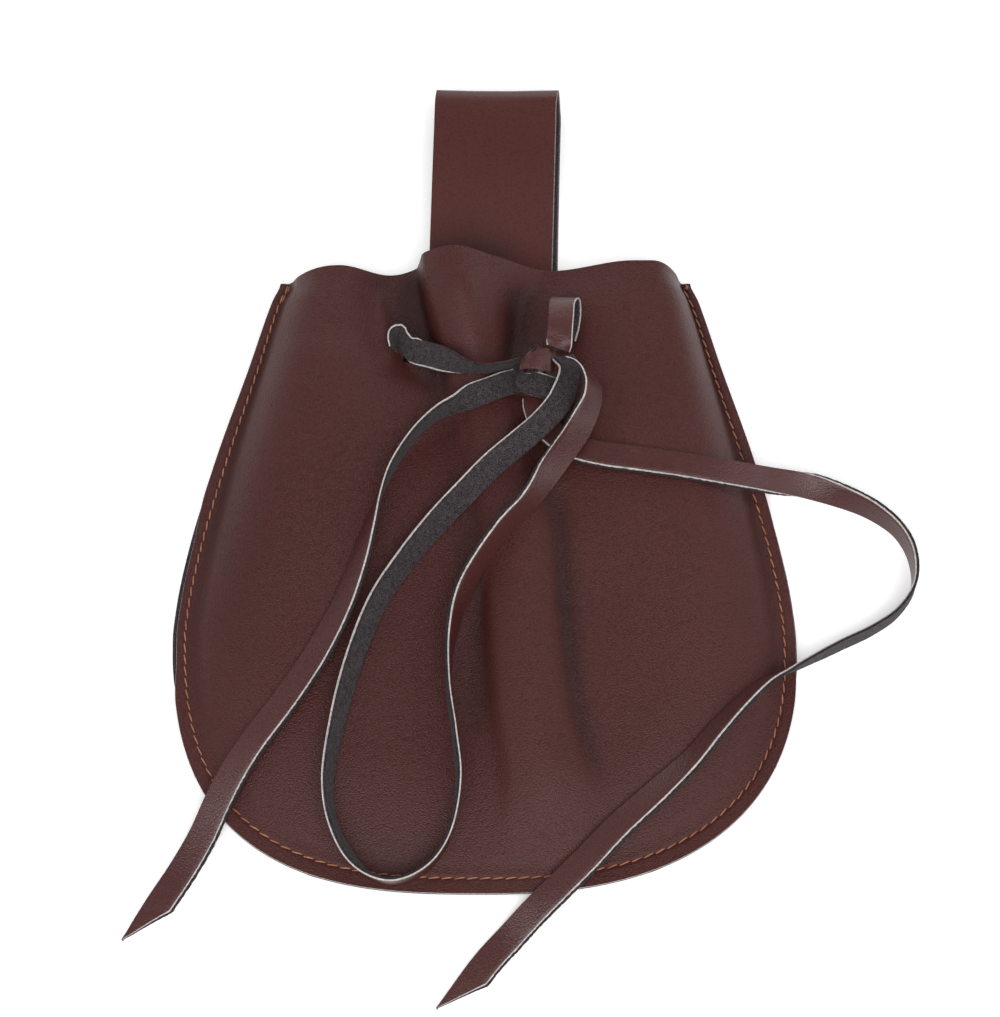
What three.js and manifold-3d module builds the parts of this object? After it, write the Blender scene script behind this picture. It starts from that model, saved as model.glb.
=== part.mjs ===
// Medieval belt pouch of thin leather, lying on its back with its belt loop away from the viewer.
// Millimetres, +Z up, +X to the right, +Y towards the belt loop. The table is z = 0.
import * as THREE from 'three';
import { mergeVertices } from 'three/addons/utils/BufferGeometryUtils.js';
import Module from 'manifold-3d';

// Driving dimensions
const leather = 1.3; // wall of both panels and of the strap
const layerGap = 0.3; // air between leather layers that touch on the real pouch
const pouchLength = 201; // mouth line to the bottom edge
const mouthWidth = 130; // across the two mouth corners
const fullWidth = 187; // across the widest place
const widestDown = 122; // from the mouth line down to the widest place
const bottomSquareLeft = 2.85; // how square the rounded bottom is, 2 being an ellipse
const bottomSquareRight = 2.45;
const bottomStartLeft = 110; // from the mouth line down to where the rounding begins
const bottomStartRight = 122;
const crestHeight = 27.2; // top of the pinched fold above the table, at the mouth
const flangeAtMouth = 2.6; // flat sewn margin outside the moulded rise, at the mouth corners
const flangeAtBottom = 4.6;
const shoulderAtLeftMouth = 16.5; // width of the moulded rise inside the seam
const shoulderAtRightMouth = 10.5;
const shoulderAtBottom = 34;
const strapWidth = 39;
const strapRise = 69; // strap beyond the mouth line
const strapSewn = 50; // strap end below the mouth line, on the outside of the back panel
const strapBendHeight = 12.5; // over the bend at the strap's free end
const strapShift = 1.4; // strap's middle to the right of the pouch's middle
const strapLean = 2; // further to the right at the bend
const strandOffset = 1.6; // lower strand to the right of the upper one
const laceWidth = 7.5;
const laceThickness = 1.2;
const tipLength = 14; // slanting cut at the tails' ends
const laceStep = 4;
const mostLaceSteps = 76;
const slitWidth = 2.2;
const slitSlack = 1.4; // slit length beyond the lace's width

// How the sheets are divided and eased
const cornerShare = 0.83; // share of a side's outline that counts as side, the rest as bottom
const sectionEase = 0.3; // 0 runs straight from section to section, 1 pauses at each
const shoulderPower = 2.2; // how quickly the moulded rise levels off
const footRound = 0.2; // share of the moulded rise over which it leaves the flange
const leastFoldRise = 1; // a fold stays this far above the seam
const sideCrowding = 0.25; // how much closer the columns lie near the side seams
const bottomCrowding = 0.35;
const frontDivisions = { columns: 44, rows: 34 };
const backDivisions = { columns: 22, rows: 18 };
const outlineSteps = 60;
const strapSteps = 48;
const sagBeside = 26; // over which the back panel comes down to the table beside the strap
const sagBelow = 28; // and below the strap's sewn end
const sagMargin = 3; // first stretch round the strap that stays at full height

const halfFull = fullWidth / 2;
const halfMouth = mouthWidth / 2;
const overallLength = pouchLength + strapRise;
const mouthY = overallLength / 2 - strapRise;
const strapStack = 2 * (leather + layerGap) + layerGap / 2; // what the two strands lift the back panel by
const seamHeight = 2 * leather + layerGap;

// Side outline from the mouth corner to the widest place: share of the way down, share of the widening
const sideWidening = [
  { down: 0, out: 0 },
  { down: 0.05, out: 0.08 },
  { down: 0.25, out: 0.315 },
  { down: 0.5, out: 0.62 },
  { down: 0.75, out: 0.87 },
  { down: 0.9, out: 0.97 },
  { down: 1, out: 1 },
];

// Cross-sections of the front panel, mouth first. down is a share of pouchLength, x of half the full
// width and h of crestHeight. Columns: left lobe, left valley, foot and brow of the pinched fold's
// steep flank, its crest, its easy flank, right valley, right lobe.
const frontSections = [
  { down: 0, x: [-0.487, -0.321, -0.23, -0.207, -0.1, 0.03, 0.22, 0.497],
    h: [0.543, 0.3, 0.46, 0.82, 1, 0.76, 0.405, 0.655] },
  { down: 0.06, x: [-0.487, -0.3, -0.215, -0.186, -0.085, 0.024, 0.13, 0.497],
    h: [0.555, 0.3, 0.38, 0.79, 0.98, 0.74, 0.365, 0.66] },
  { down: 0.115, x: [-0.487, -0.26, -0.19, -0.155, -0.062, 0.03, 0.108, 0.495],
    h: [0.57, 0.31, 0.37, 0.71, 0.87, 0.67, 0.335, 0.66] },
  { down: 0.17, x: [-0.492, -0.215, -0.155, -0.118, -0.04, 0.03, 0.1, 0.492],
    h: [0.6, 0.375, 0.405, 0.6, 0.72, 0.58, 0.37, 0.655] },
  { down: 0.24, x: [-0.513, -0.165, -0.13, -0.09, -0.021, 0.038, 0.118, 0.5],
    h: [0.6, 0.465, 0.48, 0.57, 0.62, 0.57, 0.455, 0.64] },
  { down: 0.32, x: [-0.535, -0.13, -0.09, -0.05, 0.02, 0.085, 0.165, 0.513],
    h: [0.595, 0.475, 0.49, 0.56, 0.6, 0.57, 0.47, 0.62] },
  { down: 0.45, x: [-0.556, -0.085, -0.035, 0.012, 0.1, 0.17, 0.245, 0.535],
    h: [0.55, 0.44, 0.455, 0.545, 0.61, 0.56, 0.445, 0.57] },
  { down: 0.57, x: [-0.578, -0.07, -0.015, 0.028, 0.115, 0.19, 0.272, 0.556],
    h: [0.48, 0.385, 0.4, 0.515, 0.585, 0.525, 0.385, 0.5] },
  { down: 0.73, x: [-0.556, -0.06, 0.005, 0.055, 0.15, 0.225, 0.31, 0.556],
    h: [0.39, 0.32, 0.34, 0.45, 0.515, 0.455, 0.34, 0.4] },
  { down: 0.855, x: [-0.492, -0.06, 0.035, 0.095, 0.193, 0.289, 0.385, 0.53],
    h: [0.3, 0.27, 0.29, 0.365, 0.415, 0.37, 0.295, 0.31] },
  { down: 0.945, x: [-0.385, -0.086, 0.02, 0.09, 0.193, 0.278, 0.364, 0.449],
    h: [0.22, 0.21, 0.22, 0.25, 0.27, 0.255, 0.22, 0.215] },
  { down: 1, x: [-0.385, -0.086, 0.02, 0.09, 0.193, 0.278, 0.364, 0.449],
    h: [0.15, 0.15, 0.15, 0.15, 0.15, 0.15, 0.15, 0.15] },
];

const clamp01 = (t) => Math.min(1, Math.max(0, t));
const lerp = (a, b, t) => a + (b - a) * t;

function smoothStep(from, to, value) {
  const t = clamp01((value - from) / (to - from));
  return t * t * (3 - 2 * t);
}

// Curve through (xs, ys) that never overshoots, level at each crest and valley
function easedCurve(xs, ys, x) {
  const last = xs.length - 1;
  if (x <= xs[0]) return ys[0];
  if (x >= xs[last]) return ys[last];
  let i = 0;
  while (x > xs[i + 1]) i += 1;
  const rise = (k) => (ys[k + 1] - ys[k]) / (xs[k + 1] - xs[k]);
  const slopeAt = (k) => {
    if (k === 0 || k === last) return 0;
    const before = rise(k - 1);
    const after = rise(k);
    return before * after <= 0 ? 0 : (2 * before * after) / (before + after);
  };
  const span = xs[i + 1] - xs[i];
  const t = (x - xs[i]) / span;
  const t2 = t * t;
  const t3 = t2 * t;
  return (2 * t3 - 3 * t2 + 1) * ys[i] + (t3 - 2 * t2 + t) * span * slopeAt(i)
    + (3 * t2 - 2 * t3) * ys[i + 1] + (t3 - t2) * span * slopeAt(i + 1);
}

// Half width of the pouch at a distance below the mouth line, side being -1 left or 1 right
function halfWidthAt(down, side) {
  const out = easedLine(sideWidening, 'down', 'out', down / widestDown);
  const square = side < 0 ? bottomSquareLeft : bottomSquareRight;
  const start = side < 0 ? bottomStartLeft : bottomStartRight;
  const t = clamp01((down - start) / (pouchLength - start));
  return Math.min(lerp(halfMouth, halfFull, out), halfFull * (1 - t ** square) ** (1 / square));
}

function easedLine(rows, from, to, value) {
  return easedCurve(rows.map((row) => row[from]), rows.map((row) => row[to]), value);
}

// One side's outline as points from the mouth corner to the bottom's middle
function sideOutline(side) {
  const points = [];
  for (let i = 0; i <= outlineSteps; i += 1) {
    const down = (i / outlineSteps) * widestDown;
    points.push(new THREE.Vector2(side * halfWidthAt(down, side), mouthY - down));
  }
  for (let i = 1; i <= outlineSteps; i += 1) {
    const turn = ((i / outlineSteps) * Math.PI) / 2;
    const down = lerp(widestDown, pouchLength, Math.sin(turn));
    points.push(new THREE.Vector2(side * halfWidthAt(down, side), mouthY - down));
  }
  return points;
}

const outlines = { left: sideOutline(-1), right: sideOutline(1) };

// Point at a share of a polyline's length
function alongLine(points, share) {
  const lengths = [0];
  for (let i = 1; i < points.length; i += 1) {
    lengths.push(lengths[i - 1] + points[i].distanceTo(points[i - 1]));
  }
  const target = clamp01(share) * lengths[lengths.length - 1];
  let i = 0;
  while (i < points.length - 2 && lengths[i + 1] < target) i += 1;
  const t = (target - lengths[i]) / (lengths[i + 1] - lengths[i]);
  return points[i].clone().lerp(points[i + 1], t);
}

// Distance in plan from the sewn outline, the open mouth left out
function edgeDistance(x, y) {
  let nearest = Infinity;
  for (const line of [outlines.left, outlines.right]) {
    for (let i = 1; i < line.length; i += 1) {
      const a = line[i - 1];
      const b = line[i];
      const dx = b.x - a.x;
      const dy = b.y - a.y;
      const t = clamp01(((x - a.x) * dx + (y - a.y) * dy) / (dx * dx + dy * dy));
      nearest = Math.min(nearest, Math.hypot(a.x + t * dx - x, a.y + t * dy - y));
    }
  }
  return nearest;
}

// Underside of the back panel, which rides up over the two sewn strands of the strap
function backHeight(x, y) {
  const beside = Math.abs(x - strapShift);
  const strapEdge = strapWidth / 2;
  const strapEnd = mouthY - strapSewn;
  const acrossStrap = 1 - smoothStep(strapEdge + sagMargin, strapEdge + sagBeside, beside);
  const alongStrap = smoothStep(strapEnd - sagBelow, strapEnd - sagMargin, y);
  return strapStack * acrossStrap * alongStrap;
}

// Height of the folds alone, from the table of cross-sections
function foldHeight(x, y) {
  const down = clamp01((mouthY - y) / pouchLength);
  let i = 0;
  while (i < frontSections.length - 2 && down > frontSections[i + 1].down) i += 1;
  const upper = frontSections[i];
  const lower = frontSections[i + 1];
  const share = (down - upper.down) / (lower.down - upper.down);
  const blend = lerp(share, smoothStep(0, 1, share), sectionEase);
  const xs = upper.x.map((value, k) => lerp(value, lower.x[k], blend) * halfFull);
  const hs = upper.h.map((value, k) => lerp(value, lower.h[k], blend) * crestHeight);
  return easedCurve(xs, hs, x);
}

// Outside of the front panel: flat flange, moulded rise, folds
function frontHeight(x, y) {
  const seam = seamHeight + backHeight(x, y);
  const down = clamp01((mouthY - y) / pouchLength);
  const flange = lerp(flangeAtMouth, flangeAtBottom, smoothStep(0, 0.5, down));
  const shoulderAtMouth = x < 0 ? shoulderAtLeftMouth : shoulderAtRightMouth;
  const shoulder = lerp(shoulderAtMouth, shoulderAtBottom, smoothStep(0, 0.75, down));
  const inward = clamp01((edgeDistance(x, y) - flange) / shoulder);
  const moulded = (1 - (1 - inward) ** shoulderPower) * smoothStep(0, footRound, inward);
  const fold = Math.max(foldHeight(x, y), seam + leastFoldRise);
  return lerp(seam, fold, moulded);
}

// Plan point of a panel at shares across (-1 left to 1 right) and down (0 mouth to 1 bottom)
function planPoint(across, down) {
  const side = (line, share) => alongLine(line, share * cornerShare);
  const bottom = (share) => {
    const half = 1 - Math.abs(share);
    const line = share < 0 ? outlines.left : outlines.right;
    return alongLine(line, lerp(cornerShare, 1, half));
  };
  const u = (across + 1) / 2;
  const left = side(outlines.left, down);
  const right = side(outlines.right, down);
  const top = outlines.left[0].clone().lerp(outlines.right[0], u);
  const low = bottom(across);
  const ruledAcross = left.clone().lerp(right, u);
  const ruledDown = top.clone().lerp(low, down);
  const cornersLow = side(outlines.left, 1).lerp(side(outlines.right, 1), u);
  return ruledAcross.add(ruledDown).sub(top.clone().lerp(cornersLow, down));
}

// Grid of points on a sheet, closer together near the seams
function sheetGrid({ columns, rows }, heightAt) {
  const grid = [];
  for (let r = 0; r <= rows; r += 1) {
    const row = [];
    for (let c = 0; c <= columns; c += 1) {
      const t = (2 * c) / columns - 1;
      const s = r / rows;
      const across = lerp(t, Math.sin((t * Math.PI) / 2), sideCrowding);
      const plan = planPoint(across, lerp(s, Math.sin((s * Math.PI) / 2), bottomCrowding));
      row.push(new THREE.Vector3(plan.x, plan.y, heightAt(plan.x, plan.y)));
    }
    grid.push(row);
  }
  return grid;
}

function gridNormal(grid, r, c) {
  const at = (i, k) => grid[Math.min(grid.length - 1, Math.max(0, i))][
    Math.min(grid[0].length - 1, Math.max(0, k))];
  const across = at(r, c + 1).clone().sub(at(r, c - 1));
  const down = at(r + 1, c).clone().sub(at(r - 1, c));
  const normal = down.cross(across).normalize();
  return normal.z < 0 ? normal.negate() : normal;
}

// Closed mesh between two grids of the same size, the first one on the side the columns turn up to
function closedBetween(upper, lower) {
  const rows = upper.length - 1;
  const columns = upper[0].length - 1;
  const positions = [];
  for (const grid of [upper, lower]) {
    for (const row of grid) {
      for (const point of row) positions.push(point.x, point.y, point.z);
    }
  }
  const width = columns + 1;
  const under = width * (rows + 1);
  const index = [];
  const quad = (a, b, c, d) => index.push(a, b, c, a, c, d);
  for (let r = 0; r < rows; r += 1) {
    for (let c = 0; c < columns; c += 1) {
      const i = r * width + c;
      quad(i, i + width, i + width + 1, i + 1);
      quad(under + i, under + i + 1, under + i + width + 1, under + i + width);
    }
  }
  const rim = [];
  for (let r = 0; r < rows; r += 1) rim.push(r * width);
  for (let c = 0; c < columns; c += 1) rim.push(rows * width + c);
  for (let r = rows; r > 0; r -= 1) rim.push(r * width + columns);
  for (let c = columns; c > 0; c -= 1) rim.push(c);
  rim.forEach((i, k) => {
    const next = rim[(k + 1) % rim.length];
    quad(i, under + i, under + next, next);
  });
  const geometry = new THREE.BufferGeometry();
  geometry.setAttribute('position', new THREE.Float32BufferAttribute(positions, 3));
  geometry.setIndex(index);
  return geometry;
}

function routeCurve(route) {
  const points = route.map((row) => new THREE.Vector3(...row.at));
  return new THREE.CatmullRomCurve3(points, false, 'centripetal');
}

function routeLength(route) {
  return routeCurve(route).getLength();
}

// Flat strip of leather swept along a route. Each row is a centre and the side its edge A lies on.
// Over the last tip millimetres edge A is cut away to a point.
function strip(route, width, thickness, steps, tip = 0) {
  const centres = routeCurve(route);
  const length = centres.getLength();
  const sides = new THREE.CatmullRomCurve3(route.map((row) => new THREE.Vector3(...row.side)));
  const upper = [];
  const lower = [];
  const bluntTip = 0.08; // share of the width left at the very end
  for (let i = 0; i <= steps; i += 1) {
    const share = i / steps;
    const t = centres.getUtoTmapping(share);
    const centre = centres.getPoint(t);
    const tangent = centres.getTangent(t);
    const side = sides.getPoint(t);
    side.addScaledVector(tangent, -side.dot(tangent)).normalize();
    const face = new THREE.Vector3().crossVectors(tangent, side).normalize();
    const cut = tip > 0 ? Math.max(bluntTip, clamp01(((1 - share) * length) / tip)) : 1;
    const corner = (across, over) => centre.clone()
      .addScaledVector(side, (across * width) / 2).addScaledVector(face, (over * thickness) / 2);
    upper.push([corner(-1, 1), corner(2 * cut - 1, 1)]);
    lower.push([corner(-1, -1), corner(2 * cut - 1, -1)]);
  }
  return closedBetween(upper, lower);
}

const wasm = await Module();
wasm.setup();

function toSolid(geometry) {
  const plain = geometry.clone();
  plain.deleteAttribute('normal');
  plain.deleteAttribute('uv');
  const merged = mergeVertices(plain, 1e-4);
  return new wasm.Manifold(new wasm.Mesh({
    numProp: 3,
    vertProperties: new Float32Array(merged.attributes.position.array),
    triVerts: new Uint32Array(merged.index.array),
  }));
}

function toGeometry(solid) {
  const mesh = solid.getMesh();
  const geometry = new THREE.BufferGeometry();
  geometry.setAttribute('position', new THREE.BufferAttribute(mesh.vertProperties, 3));
  geometry.setIndex(new THREE.BufferAttribute(mesh.triVerts, 1));
  return geometry;
}

function frontPanel() {
  const outer = sheetGrid(frontDivisions, frontHeight);
  const inner = outer.map((row, r) => row.map((point, c) => {
    const normal = gridNormal(outer, r, c);
    const onSeam = c === 0 || c === row.length - 1 || r === outer.length - 1;
    if (onSeam) normal.set(0, 0, 1);
    else if (r === 0) normal.setY(0).normalize();
    return point.clone().addScaledVector(normal, -leather);
  }));
  return closedBetween(outer, inner);
}

function backPanel() {
  const lower = sheetGrid(backDivisions, backHeight);
  const upper = lower.map((row) => row.map((point) => point.clone().setZ(point.z + leather)));
  return closedBetween(upper, lower);
}

// Strap from its upper sewn end, out past the mouth, over the bend and back along the table
function strapRoute() {
  const low = leather / 2;
  const sewnHeight = low + leather + layerGap;
  const topHeight = strapBendHeight - leather / 2;
  const bendRadius = (topHeight - low) / 2;
  const bendY = mouthY + strapRise - leather / 2 - bendRadius;
  const endY = mouthY - strapSewn;
  const leanAt = (y) => strapShift + strapLean * clamp01((y - mouthY) / strapRise);
  const row = (y, z, offset) => ({ at: [leanAt(y) + offset, y, z], side: [1, 0, 0] });
  const route = [];
  for (const y of [endY, endY + strapSewn / 2, mouthY]) route.push(row(y, sewnHeight, 0));
  const risingSteps = 6;
  for (let i = 1; i <= risingSteps; i += 1) {
    const t = i / risingSteps;
    const rise = lerp(smoothStep(0, 1, t), Math.sin((t * Math.PI) / 2), t);
    route.push(row(lerp(mouthY, bendY, t), lerp(sewnHeight, topHeight, rise), 0));
  }
  const bendSteps = 8;
  for (let i = 1; i < bendSteps; i += 1) {
    const turn = (i / bendSteps) * Math.PI;
    const y = bendY + bendRadius * Math.sin(turn);
    const z = low + bendRadius * (1 + Math.cos(turn));
    route.push(row(y, z, (strandOffset * i) / bendSteps));
  }
  for (const share of [0, 0.02, 0.3, 0.65, 1]) route.push(row(lerp(bendY, endY, share), low, strandOffset));
  return route;
}

// The lace's routes, chosen by eye. at is the middle of the strip, side points to its edge A, which is
// the left-hand edge of the left tail's start, the outer edge of the big loop and the upper edge of
// the right tail's start.
const laceRoutes = {
  lace_gather: [
    { at: [-28.2, 36.6, 14.4], side: [-0.25, 0.05, 1] },
    { at: [-28.4, 38.4, 14.9], side: [-0.25, 0.2, 0.95] },
    { at: [-27.8, 40.2, 15.1], side: [-0.2, 0.35, 0.9] },
    { at: [-26.4, 40.9, 15], side: [0, 0.4, 0.9] },
    { at: [-25, 39, 14.7], side: [0.05, 0.4, 0.9] },
    { at: [-23.6, 36.9, 14.5], side: [0.1, 0.5, 0.85] },
    { at: [-21.4, 35.5, 14.6], side: [0.05, 0.9, 0.4] },
    { at: [-17.8, 33.6, 16.4], side: [0, 0.9, 0.4] },
    { at: [-13.8, 31, 18.8], side: [0, 0.85, 0.5] },
    { at: [-10, 28.6, 21], side: [0, 0.5, 0.85] },
    { at: [-6.1, 26.4, 22.4], side: [0, 0.15, 1] },
    { at: [-2.5, 25.5, 22.4], side: [0, -0.1, 1] },
    { at: [0.9, 25.7, 21.8], side: [0, -0.2, 1] },
    { at: [4.7, 27.4, 19.8], side: [0, -0.25, 1] },
    { at: [9.2, 29.4, 18.3], side: [0, -0.25, 1] },
  ],
  lace_knot: [
    { at: [21.4, 30.6, 17.6], side: [-0.1, 0.95, 0.3] },
    { at: [18.6, 30.4, 19.2], side: [-0.15, 0.9, 0.4] },
    { at: [16, 29.5, 20.2], side: [-0.2, 0.75, 0.65] },
    { at: [13.8, 28.7, 20.4], side: [-0.1, 0.2, 1] },
    { at: [12.5, 27.8, 19.8], side: [0, 0, 1] },
    { at: [11.9, 26.2, 18.7], side: [0, 0.4, 0.9] },
    { at: [12.3, 24.7, 17.8], side: [0.1, 0.75, 0.6] },
    { at: [14, 23.5, 17], side: [0.1, 1, 0.2] },
    { at: [17.1, 22.4, 16.8], side: [0.05, 1, 0.1] },
    { at: [20, 21.5, 16.7], side: [0, 1, 0.05] },
    { at: [22.2, 20.9, 16.5], side: [0, 1, 0] },
  ],
  lace_small_loop: [
    { at: [22.3, 32.8, 21.2], side: [0.85, 0, -0.5] },
    { at: [22.8, 35.3, 21.8], side: [1, -0.2, 0] },
    { at: [23, 39.1, 22.6], side: [1, -0.15, 0] },
    { at: [23.4, 44.3, 22.4], side: [1, -0.1, 0] },
    { at: [23.8, 48.9, 21.2], side: [1, -0.1, 0.05] },
    { at: [24.8, 51.3, 19], side: [1, -0.1, 0.1] },
    { at: [25.7, 51.6, 16.8], side: [1, -0.1, 0.2] },
    { at: [25.9, 48.8, 15.4], side: [1, -0.1, 0.2] },
    { at: [25.4, 44.4, 15], side: [1, -0.1, 0.2] },
    { at: [24.2, 39.4, 15], side: [1, -0.2, 0.2] },
  ],
  lace_big_loop: [
    { at: [24.2, 31, 19.4], side: [-0.8, -0.4, 0.4] },
    { at: [26, 27.2, 19.8], side: [-0.8, -0.15, 0.6] },
    { at: [25.9, 24.4, 19.4], side: [-0.75, 0, 0.65] },
    { at: [25, 21, 19.2], side: [-0.75, 0.2, 0.6] },
    { at: [23, 15.8, 19], side: [-0.75, 0.5, 0.3] },
    { at: [18, 9.2, 18.8], side: [-0.7, 0.65, 0.15] },
    { at: [10.6, 1.8, 19.2], side: [-0.65, 0.65, 0.25] },
    { at: [2.4, -6, 19.4], side: [-0.65, 0.6, 0.4] },
    { at: [-4.6, -13.2, 18], side: [-0.65, 0.5, 0.5] },
    { at: [-13.2, -22.4, 16.4], side: [-0.65, 0.4, 0.6] },
    { at: [-22.9, -35.1, 16.2], side: [-0.6, 0.2, 0.8] },
    { at: [-31.5, -49.3, 16.1], side: [-0.6, 0, 0.8] },
    { at: [-38.4, -68.2, 15], side: [-0.55, -0.15, 0.8] },
    { at: [-42.7, -86.3, 14.1], side: [-0.45, -0.2, 0.85] },
    { at: [-45.2, -104.1, 12.1], side: [-0.3, -0.2, 0.9] },
    { at: [-43.8, -115.1, 10.4], side: [-0.2, -0.3, 0.9] },
    { at: [-38.8, -125, 8.5], side: [-0.2, -0.4, 0.9] },
    { at: [-33, -130.6, 7.4], side: [-0.1, -0.25, 1] },
    { at: [-26.6, -132.7, 7.2], side: [0, -0.15, 1] },
    { at: [-19.6, -130.8, 7.4], side: [0, -0.1, 1] },
    { at: [-14.2, -126.5, 8.2], side: [0.1, 0, 1] },
    { at: [-10, -119.4, 9.8], side: [0.1, 0.1, 1] },
    { at: [-7.4, -104.4, 12.4], side: [0.1, 0.05, 1] },
    { at: [-8.6, -90, 13.5], side: [0.05, 0, 1] },
    { at: [-10.5, -75, 14.4], side: [0, 0, 1] },
    { at: [-9.6, -59, 15.4], side: [-0.25, 0, 0.95] },
    { at: [-5.6, -44.6, 16.8], side: [-0.5, 0, 0.87] },
    { at: [5.4, -27.4, 20.4], side: [-0.5, 0.05, 0.88] },
    { at: [12.9, -18.9, 20.6], side: [-0.55, 0.1, 0.85] },
    { at: [16.6, -13.4, 20.4], side: [-0.65, 0.2, 0.75] },
    { at: [19.8, -8, 20.2], side: [-0.75, 0.4, 0.5] },
    { at: [23.6, -2.2, 20], side: [-0.8, 0.5, 0.3] },
    { at: [27.5, 3.8, 20], side: [-0.8, 0.5, 0.3] },
    { at: [30.5, 9.9, 20.4], side: [-0.8, 0.25, 0.55] },
    { at: [32.7, 15.6, 21.6], side: [-0.7, -0.1, 0.7] },
    { at: [32.6, 19.7, 23], side: [-0.6, -0.05, 0.8] },
    { at: [30.5, 23.3, 24.2], side: [-0.45, -0.1, 0.9] },
    { at: [27.6, 25.4, 25], side: [-0.25, -0.15, 0.95] },
    { at: [24.4, 26.2, 25.3], side: [-0.1, -0.15, 0.95] },
  ],
  lace_left_tail: [
    { at: [10.5, 25.8, 13.9], side: [-0.05, 1, 0.1] },
    { at: [8.8, 24.6, 14.8], side: [-0.05, 1, 0.15] },
    { at: [6.4, 22.9, 16.8], side: [-0.1, 1, 0.2] },
    { at: [1.9, 20, 19], side: [-0.1, 1, 0.1] },
    { at: [-2.6, 17.5, 20.1], side: [-0.1, 0.9, 0.4] },
    { at: [-7.9, 14.9, 19.6], side: [-0.1, 0.35, 0.95] },
    { at: [-13.9, 12.3, 18.8], side: [-0.15, 0, 1] },
    { at: [-18.9, 8, 18.4], side: [-0.2, -0.2, 0.95] },
    { at: [-23.2, 2.4, 18.4], side: [-0.15, -0.25, 0.95] },
    { at: [-28.4, -7.3, 18.8], side: [0, -0.1, 1] },
    { at: [-31.4, -15.8, 18.7], side: [0.2, 0, 1] },
    { at: [-34, -24, 18.2], side: [0.45, -0.1, 0.85] },
    { at: [-37.5, -36.6, 17.2], side: [0.65, -0.2, 0.7] },
    { at: [-42.4, -50.6, 15.9], side: [0.75, -0.35, 0.55] },
    { at: [-49.7, -65.2, 14.3], side: [0.8, -0.5, 0.35] },
    { at: [-58, -78.2, 12.7], side: [0.8, -0.6, 0.25] },
    { at: [-68.1, -91.9, 10.2], side: [0.8, -0.6, 0.2] },
    { at: [-73.6, -100.2, 7.6], side: [0.85, -0.5, 0.1] },
    { at: [-77.8, -108, 5.2], side: [0.85, -0.5, 0] },
    { at: [-82.2, -117.6, 2.4], side: [0.85, -0.5, 0] },
    { at: [-87.6, -127.4, 0.9], side: [0.85, -0.5, 0] },
    { at: [-94.3, -138.6, 0.7], side: [0.8, -0.6, 0] },
    { at: [-100.4, -150, 0.7], side: [0.8, -0.6, 0] },
  ],
  lace_right_tail: [
    { at: [15.6, 19.3, 14.2], side: [0.95, 0.05, 0.15] },
    { at: [15.7, 16.6, 14.7], side: [0.95, 0.15, 0.15] },
    { at: [16.8, 12.6, 15], side: [0.85, 0.45, 0.15] },
    { at: [19.4, 8.4, 15.5], side: [0.75, 0.65, 0.1] },
    { at: [23, 4.5, 16], side: [0.5, 0.85, 0] },
    { at: [28.6, 1.2, 16.6], side: [0.25, 0.95, 0] },
    { at: [36.4, -1.2, 17.3], side: [0.15, 1, 0] },
    { at: [47.3, -3.2, 18], side: [0.1, 1, 0] },
    { at: [59.4, -5, 17.9], side: [0.1, 1, 0.05] },
    { at: [71.7, -6.5, 16.4], side: [0.1, 1, 0.1] },
    { at: [79.5, -6.6, 13.6], side: [0.1, 1, 0.1] },
    { at: [87, -6.4, 10.2], side: [0.15, 1, 0.15] },
    { at: [97.1, -7, 7.4], side: [0.2, 0.85, 0.45] },
    { at: [108.6, -9.8, 5.4], side: [0.25, 0.5, 0.8] },
    { at: [118.6, -14.4, 4.6], side: [0.3, 0.2, 0.95] },
    { at: [126, -21, 4.4], side: [0.2, 0, 1] },
    { at: [129.6, -29.2, 4.4], side: [0.1, 0, 1] },
    { at: [129.4, -39.4, 4.4], side: [0, 0, 1] },
    { at: [124, -47.8, 4.4], side: [0, 0, 1] },
    { at: [116.4, -53.4, 4.4], side: [0, 0, 1] },
    { at: [106, -58.8, 4.8], side: [0, 0, 1] },
    { at: [97.6, -63.6, 6.2], side: [0, -0.1, 1] },
    { at: [90.6, -67.8, 8], side: [0.1, -0.2, 1] },
    { at: [83.6, -72.4, 11.6], side: [0.2, -0.4, 0.9] },
    { at: [76.2, -79.3, 13], side: [0.3, -0.5, 0.8] },
    { at: [68.2, -87.9, 12.9], side: [0.35, -0.6, 0.7] },
    { at: [60.3, -97, 11.8], side: [0.4, -0.7, 0.6] },
    { at: [50.6, -106, 10.4], side: [0.5, -0.8, 0.4] },
    { at: [38.3, -116.8, 8.3], side: [0.6, -0.8, 0.25] },
    { at: [29.7, -125.6, 6.6], side: [0.6, -0.8, 0.15] },
    { at: [22, -133, 5.2], side: [0.6, -0.8, 0.1] },
    { at: [14.6, -140, 3.6], side: [0.65, -0.75, 0] },
    { at: [7.7, -147, 1.1], side: [0.65, -0.75, 0] },
    { at: [0.2, -155.4, 0.7], side: [0.7, -0.7, 0] },
    { at: [-10.4, -170.4, 0.7], side: [0.75, -0.65, 0] },
  ],
  lace_inside: [
    { at: [-25.6, 37.6, 6.2], side: [0, 1, 0] },
    { at: [-23, 37.2, 6.2], side: [0, 1, 0] },
    { at: [-14, 35.4, 6.2], side: [0, 1, 0] },
    { at: [-4, 33.2, 6], side: [0, 1, 0] },
    { at: [6, 31.2, 6], side: [0, 1, 0] },
    { at: [13, 30, 6.4], side: [0, 1, 0] },
    { at: [17, 29.4, 7.6], side: [0, 1, 0] },
  ],
};

// Slits the lace goes through in the front panel: middle and turn in plan, degrees
const slits = [
  { x: -25.4, y: 35, turn: 84 },
  { x: 17.4, y: 29.4, turn: -30 },
];

function slitCutter({ x, y, turn }) {
  const box = new THREE.BoxGeometry(slitWidth, laceWidth + slitSlack, crestHeight);
  box.rotateZ(THREE.MathUtils.degToRad(turn));
  box.translate(x, y, frontHeight(x, y));
  return toSolid(box);
}

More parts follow.
